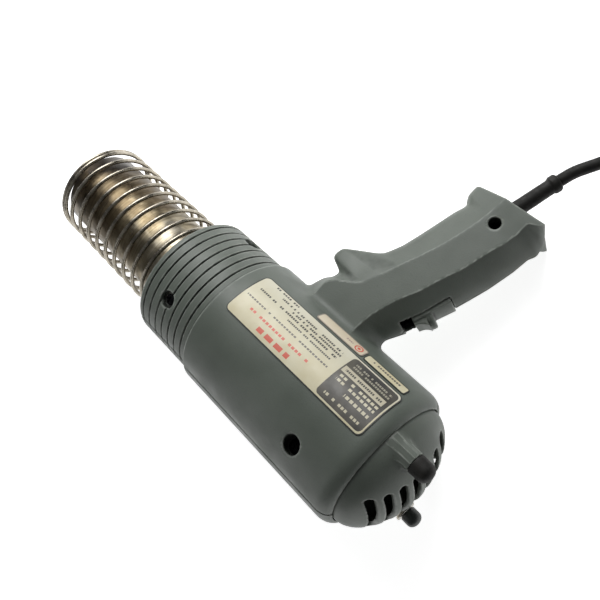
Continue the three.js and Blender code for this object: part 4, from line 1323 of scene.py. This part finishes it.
def make_camera():
    turn = GUN.to_3x3().normalized()
    back = -(turn @ Vector(CAMERA_FORWARD)).normalized()
    up = -(turn @ Vector(CAMERA_DOWN))
    right = up.cross(back).normalized()
    up = back.cross(right)
    data = bpy.data.cameras.new("camera")
    data.lens, data.sensor_width = CAMERA_LENS, 36.0
    data.clip_start, data.clip_end = 0.01, 20
    camera = bpy.data.objects.new("camera", data)
    matrix = Matrix((right, up, back)).transposed().to_4x4()
    matrix.translation = GUN @ Vector(CAMERA_AT)
    camera.matrix_world = matrix
    bpy.context.scene.collection.objects.link(camera)
    bpy.context.scene.camera = camera
    return right, up, back


def area_light(name, toward, distance, size, power, target):
    """A soft light, facing its target from a distance in one direction."""
    data = bpy.data.lights.new(name, "AREA")
    data.shape = "RECTANGLE"
    data.size, data.size_y = size
    data.energy = power
    light = bpy.data.objects.new(name, data)
    toward = Vector(toward).normalized()
    light.location = Vector(target) + toward * distance
    light.rotation_euler = toward.to_track_quat("Z", "Y").to_euler()
    bpy.context.scene.collection.objects.link(light)


def make_floor():
    mesh = bpy.data.meshes.new("floor")
    reach, drop = 4.0, 0.0005
    corners = [(x * reach, y * reach, -drop) for x, y in ((-1, -1), (1, -1), (1, 1), (-1, 1))]
    mesh.from_pydata(corners, [], [(0, 1, 2, 3)])
    floor = bpy.data.objects.new("floor", mesh)
    bpy.context.scene.collection.objects.link(floor)
    f = Finish("floor", Roughness=0.7, Emission_Strength=0.84, Specular_IOR_Level=0.2)
    f.shader.inputs["Emission Color"].default_value = (1, 1, 1, 1)
    grain = f.noise(400, 2.0)
    f.set(Base_Color=f.mix(grain, (0.86, 0.86, 0.855), (0.90, 0.90, 0.895)))
    mesh.materials.append(f.material)
    floor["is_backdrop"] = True


def make_light(right, up, back):
    world = bpy.data.worlds.new("studio")
    world.use_nodes = True
    sky = world.node_tree.nodes["Background"].inputs
    sky["Color"].default_value = (0.97, 0.98, 1.0, 1)
    sky["Strength"].default_value = 0.12
    bpy.context.scene.world = world
    middle = sum((Vector(c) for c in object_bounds()), Vector()) / 2
    nozzle = GUN @ Vector((200, 0, 0))
    area_light("key", up * 0.9 - right * 0.25 + back * 0.45, 0.62, (0.7, 0.35), 4.5, nozzle)
    area_light("fill", back * 0.8 + up * 0.9 - right * 0.3, 1.2, (0.7, 0.5), 1.5, middle)
    area_light("rim", -right * 0.9 - up * 0.5 + back * 0.1, 0.9, (0.25, 0.8), 0.8, middle)


# ---- everything together ----

NODE_SLOTS = {item["node"]: item["material_slot"] for item in frame["record"]["subparts"]}


def finish_frame():
    """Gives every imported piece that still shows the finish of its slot."""
    for name, piece in frame["nodes"].items():
        if piece.hide_render:
            continue
        piece.data.materials.clear()
        piece.data.materials.append(FINISHES[NODE_SLOTS[name]])


bpy.context.scene.view_settings.view_transform = "Standard"
basis = make_camera()
make_cord()
make_housing()
make_dial()
make_post_ends()
make_outlet()
make_screws()
make_slider()
make_label("main_label", (8, 105), (-5.5, -47.5), 3.2, main_label_finish)
make_label("rating_label", (38, 70), (-49.5, -59.5), 1.6, rating_label_finish)
make_label("inspection_label", (10, 37), (-49.5, -58), 1.6, inspection_label_finish)
make_boot()
finish_frame()
make_floor()
make_light(*basis)

boxes = {"cad": cad_box, "visual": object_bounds()}
{key: [list(corner) for corner in pair] for key, pair in boxes.items()}
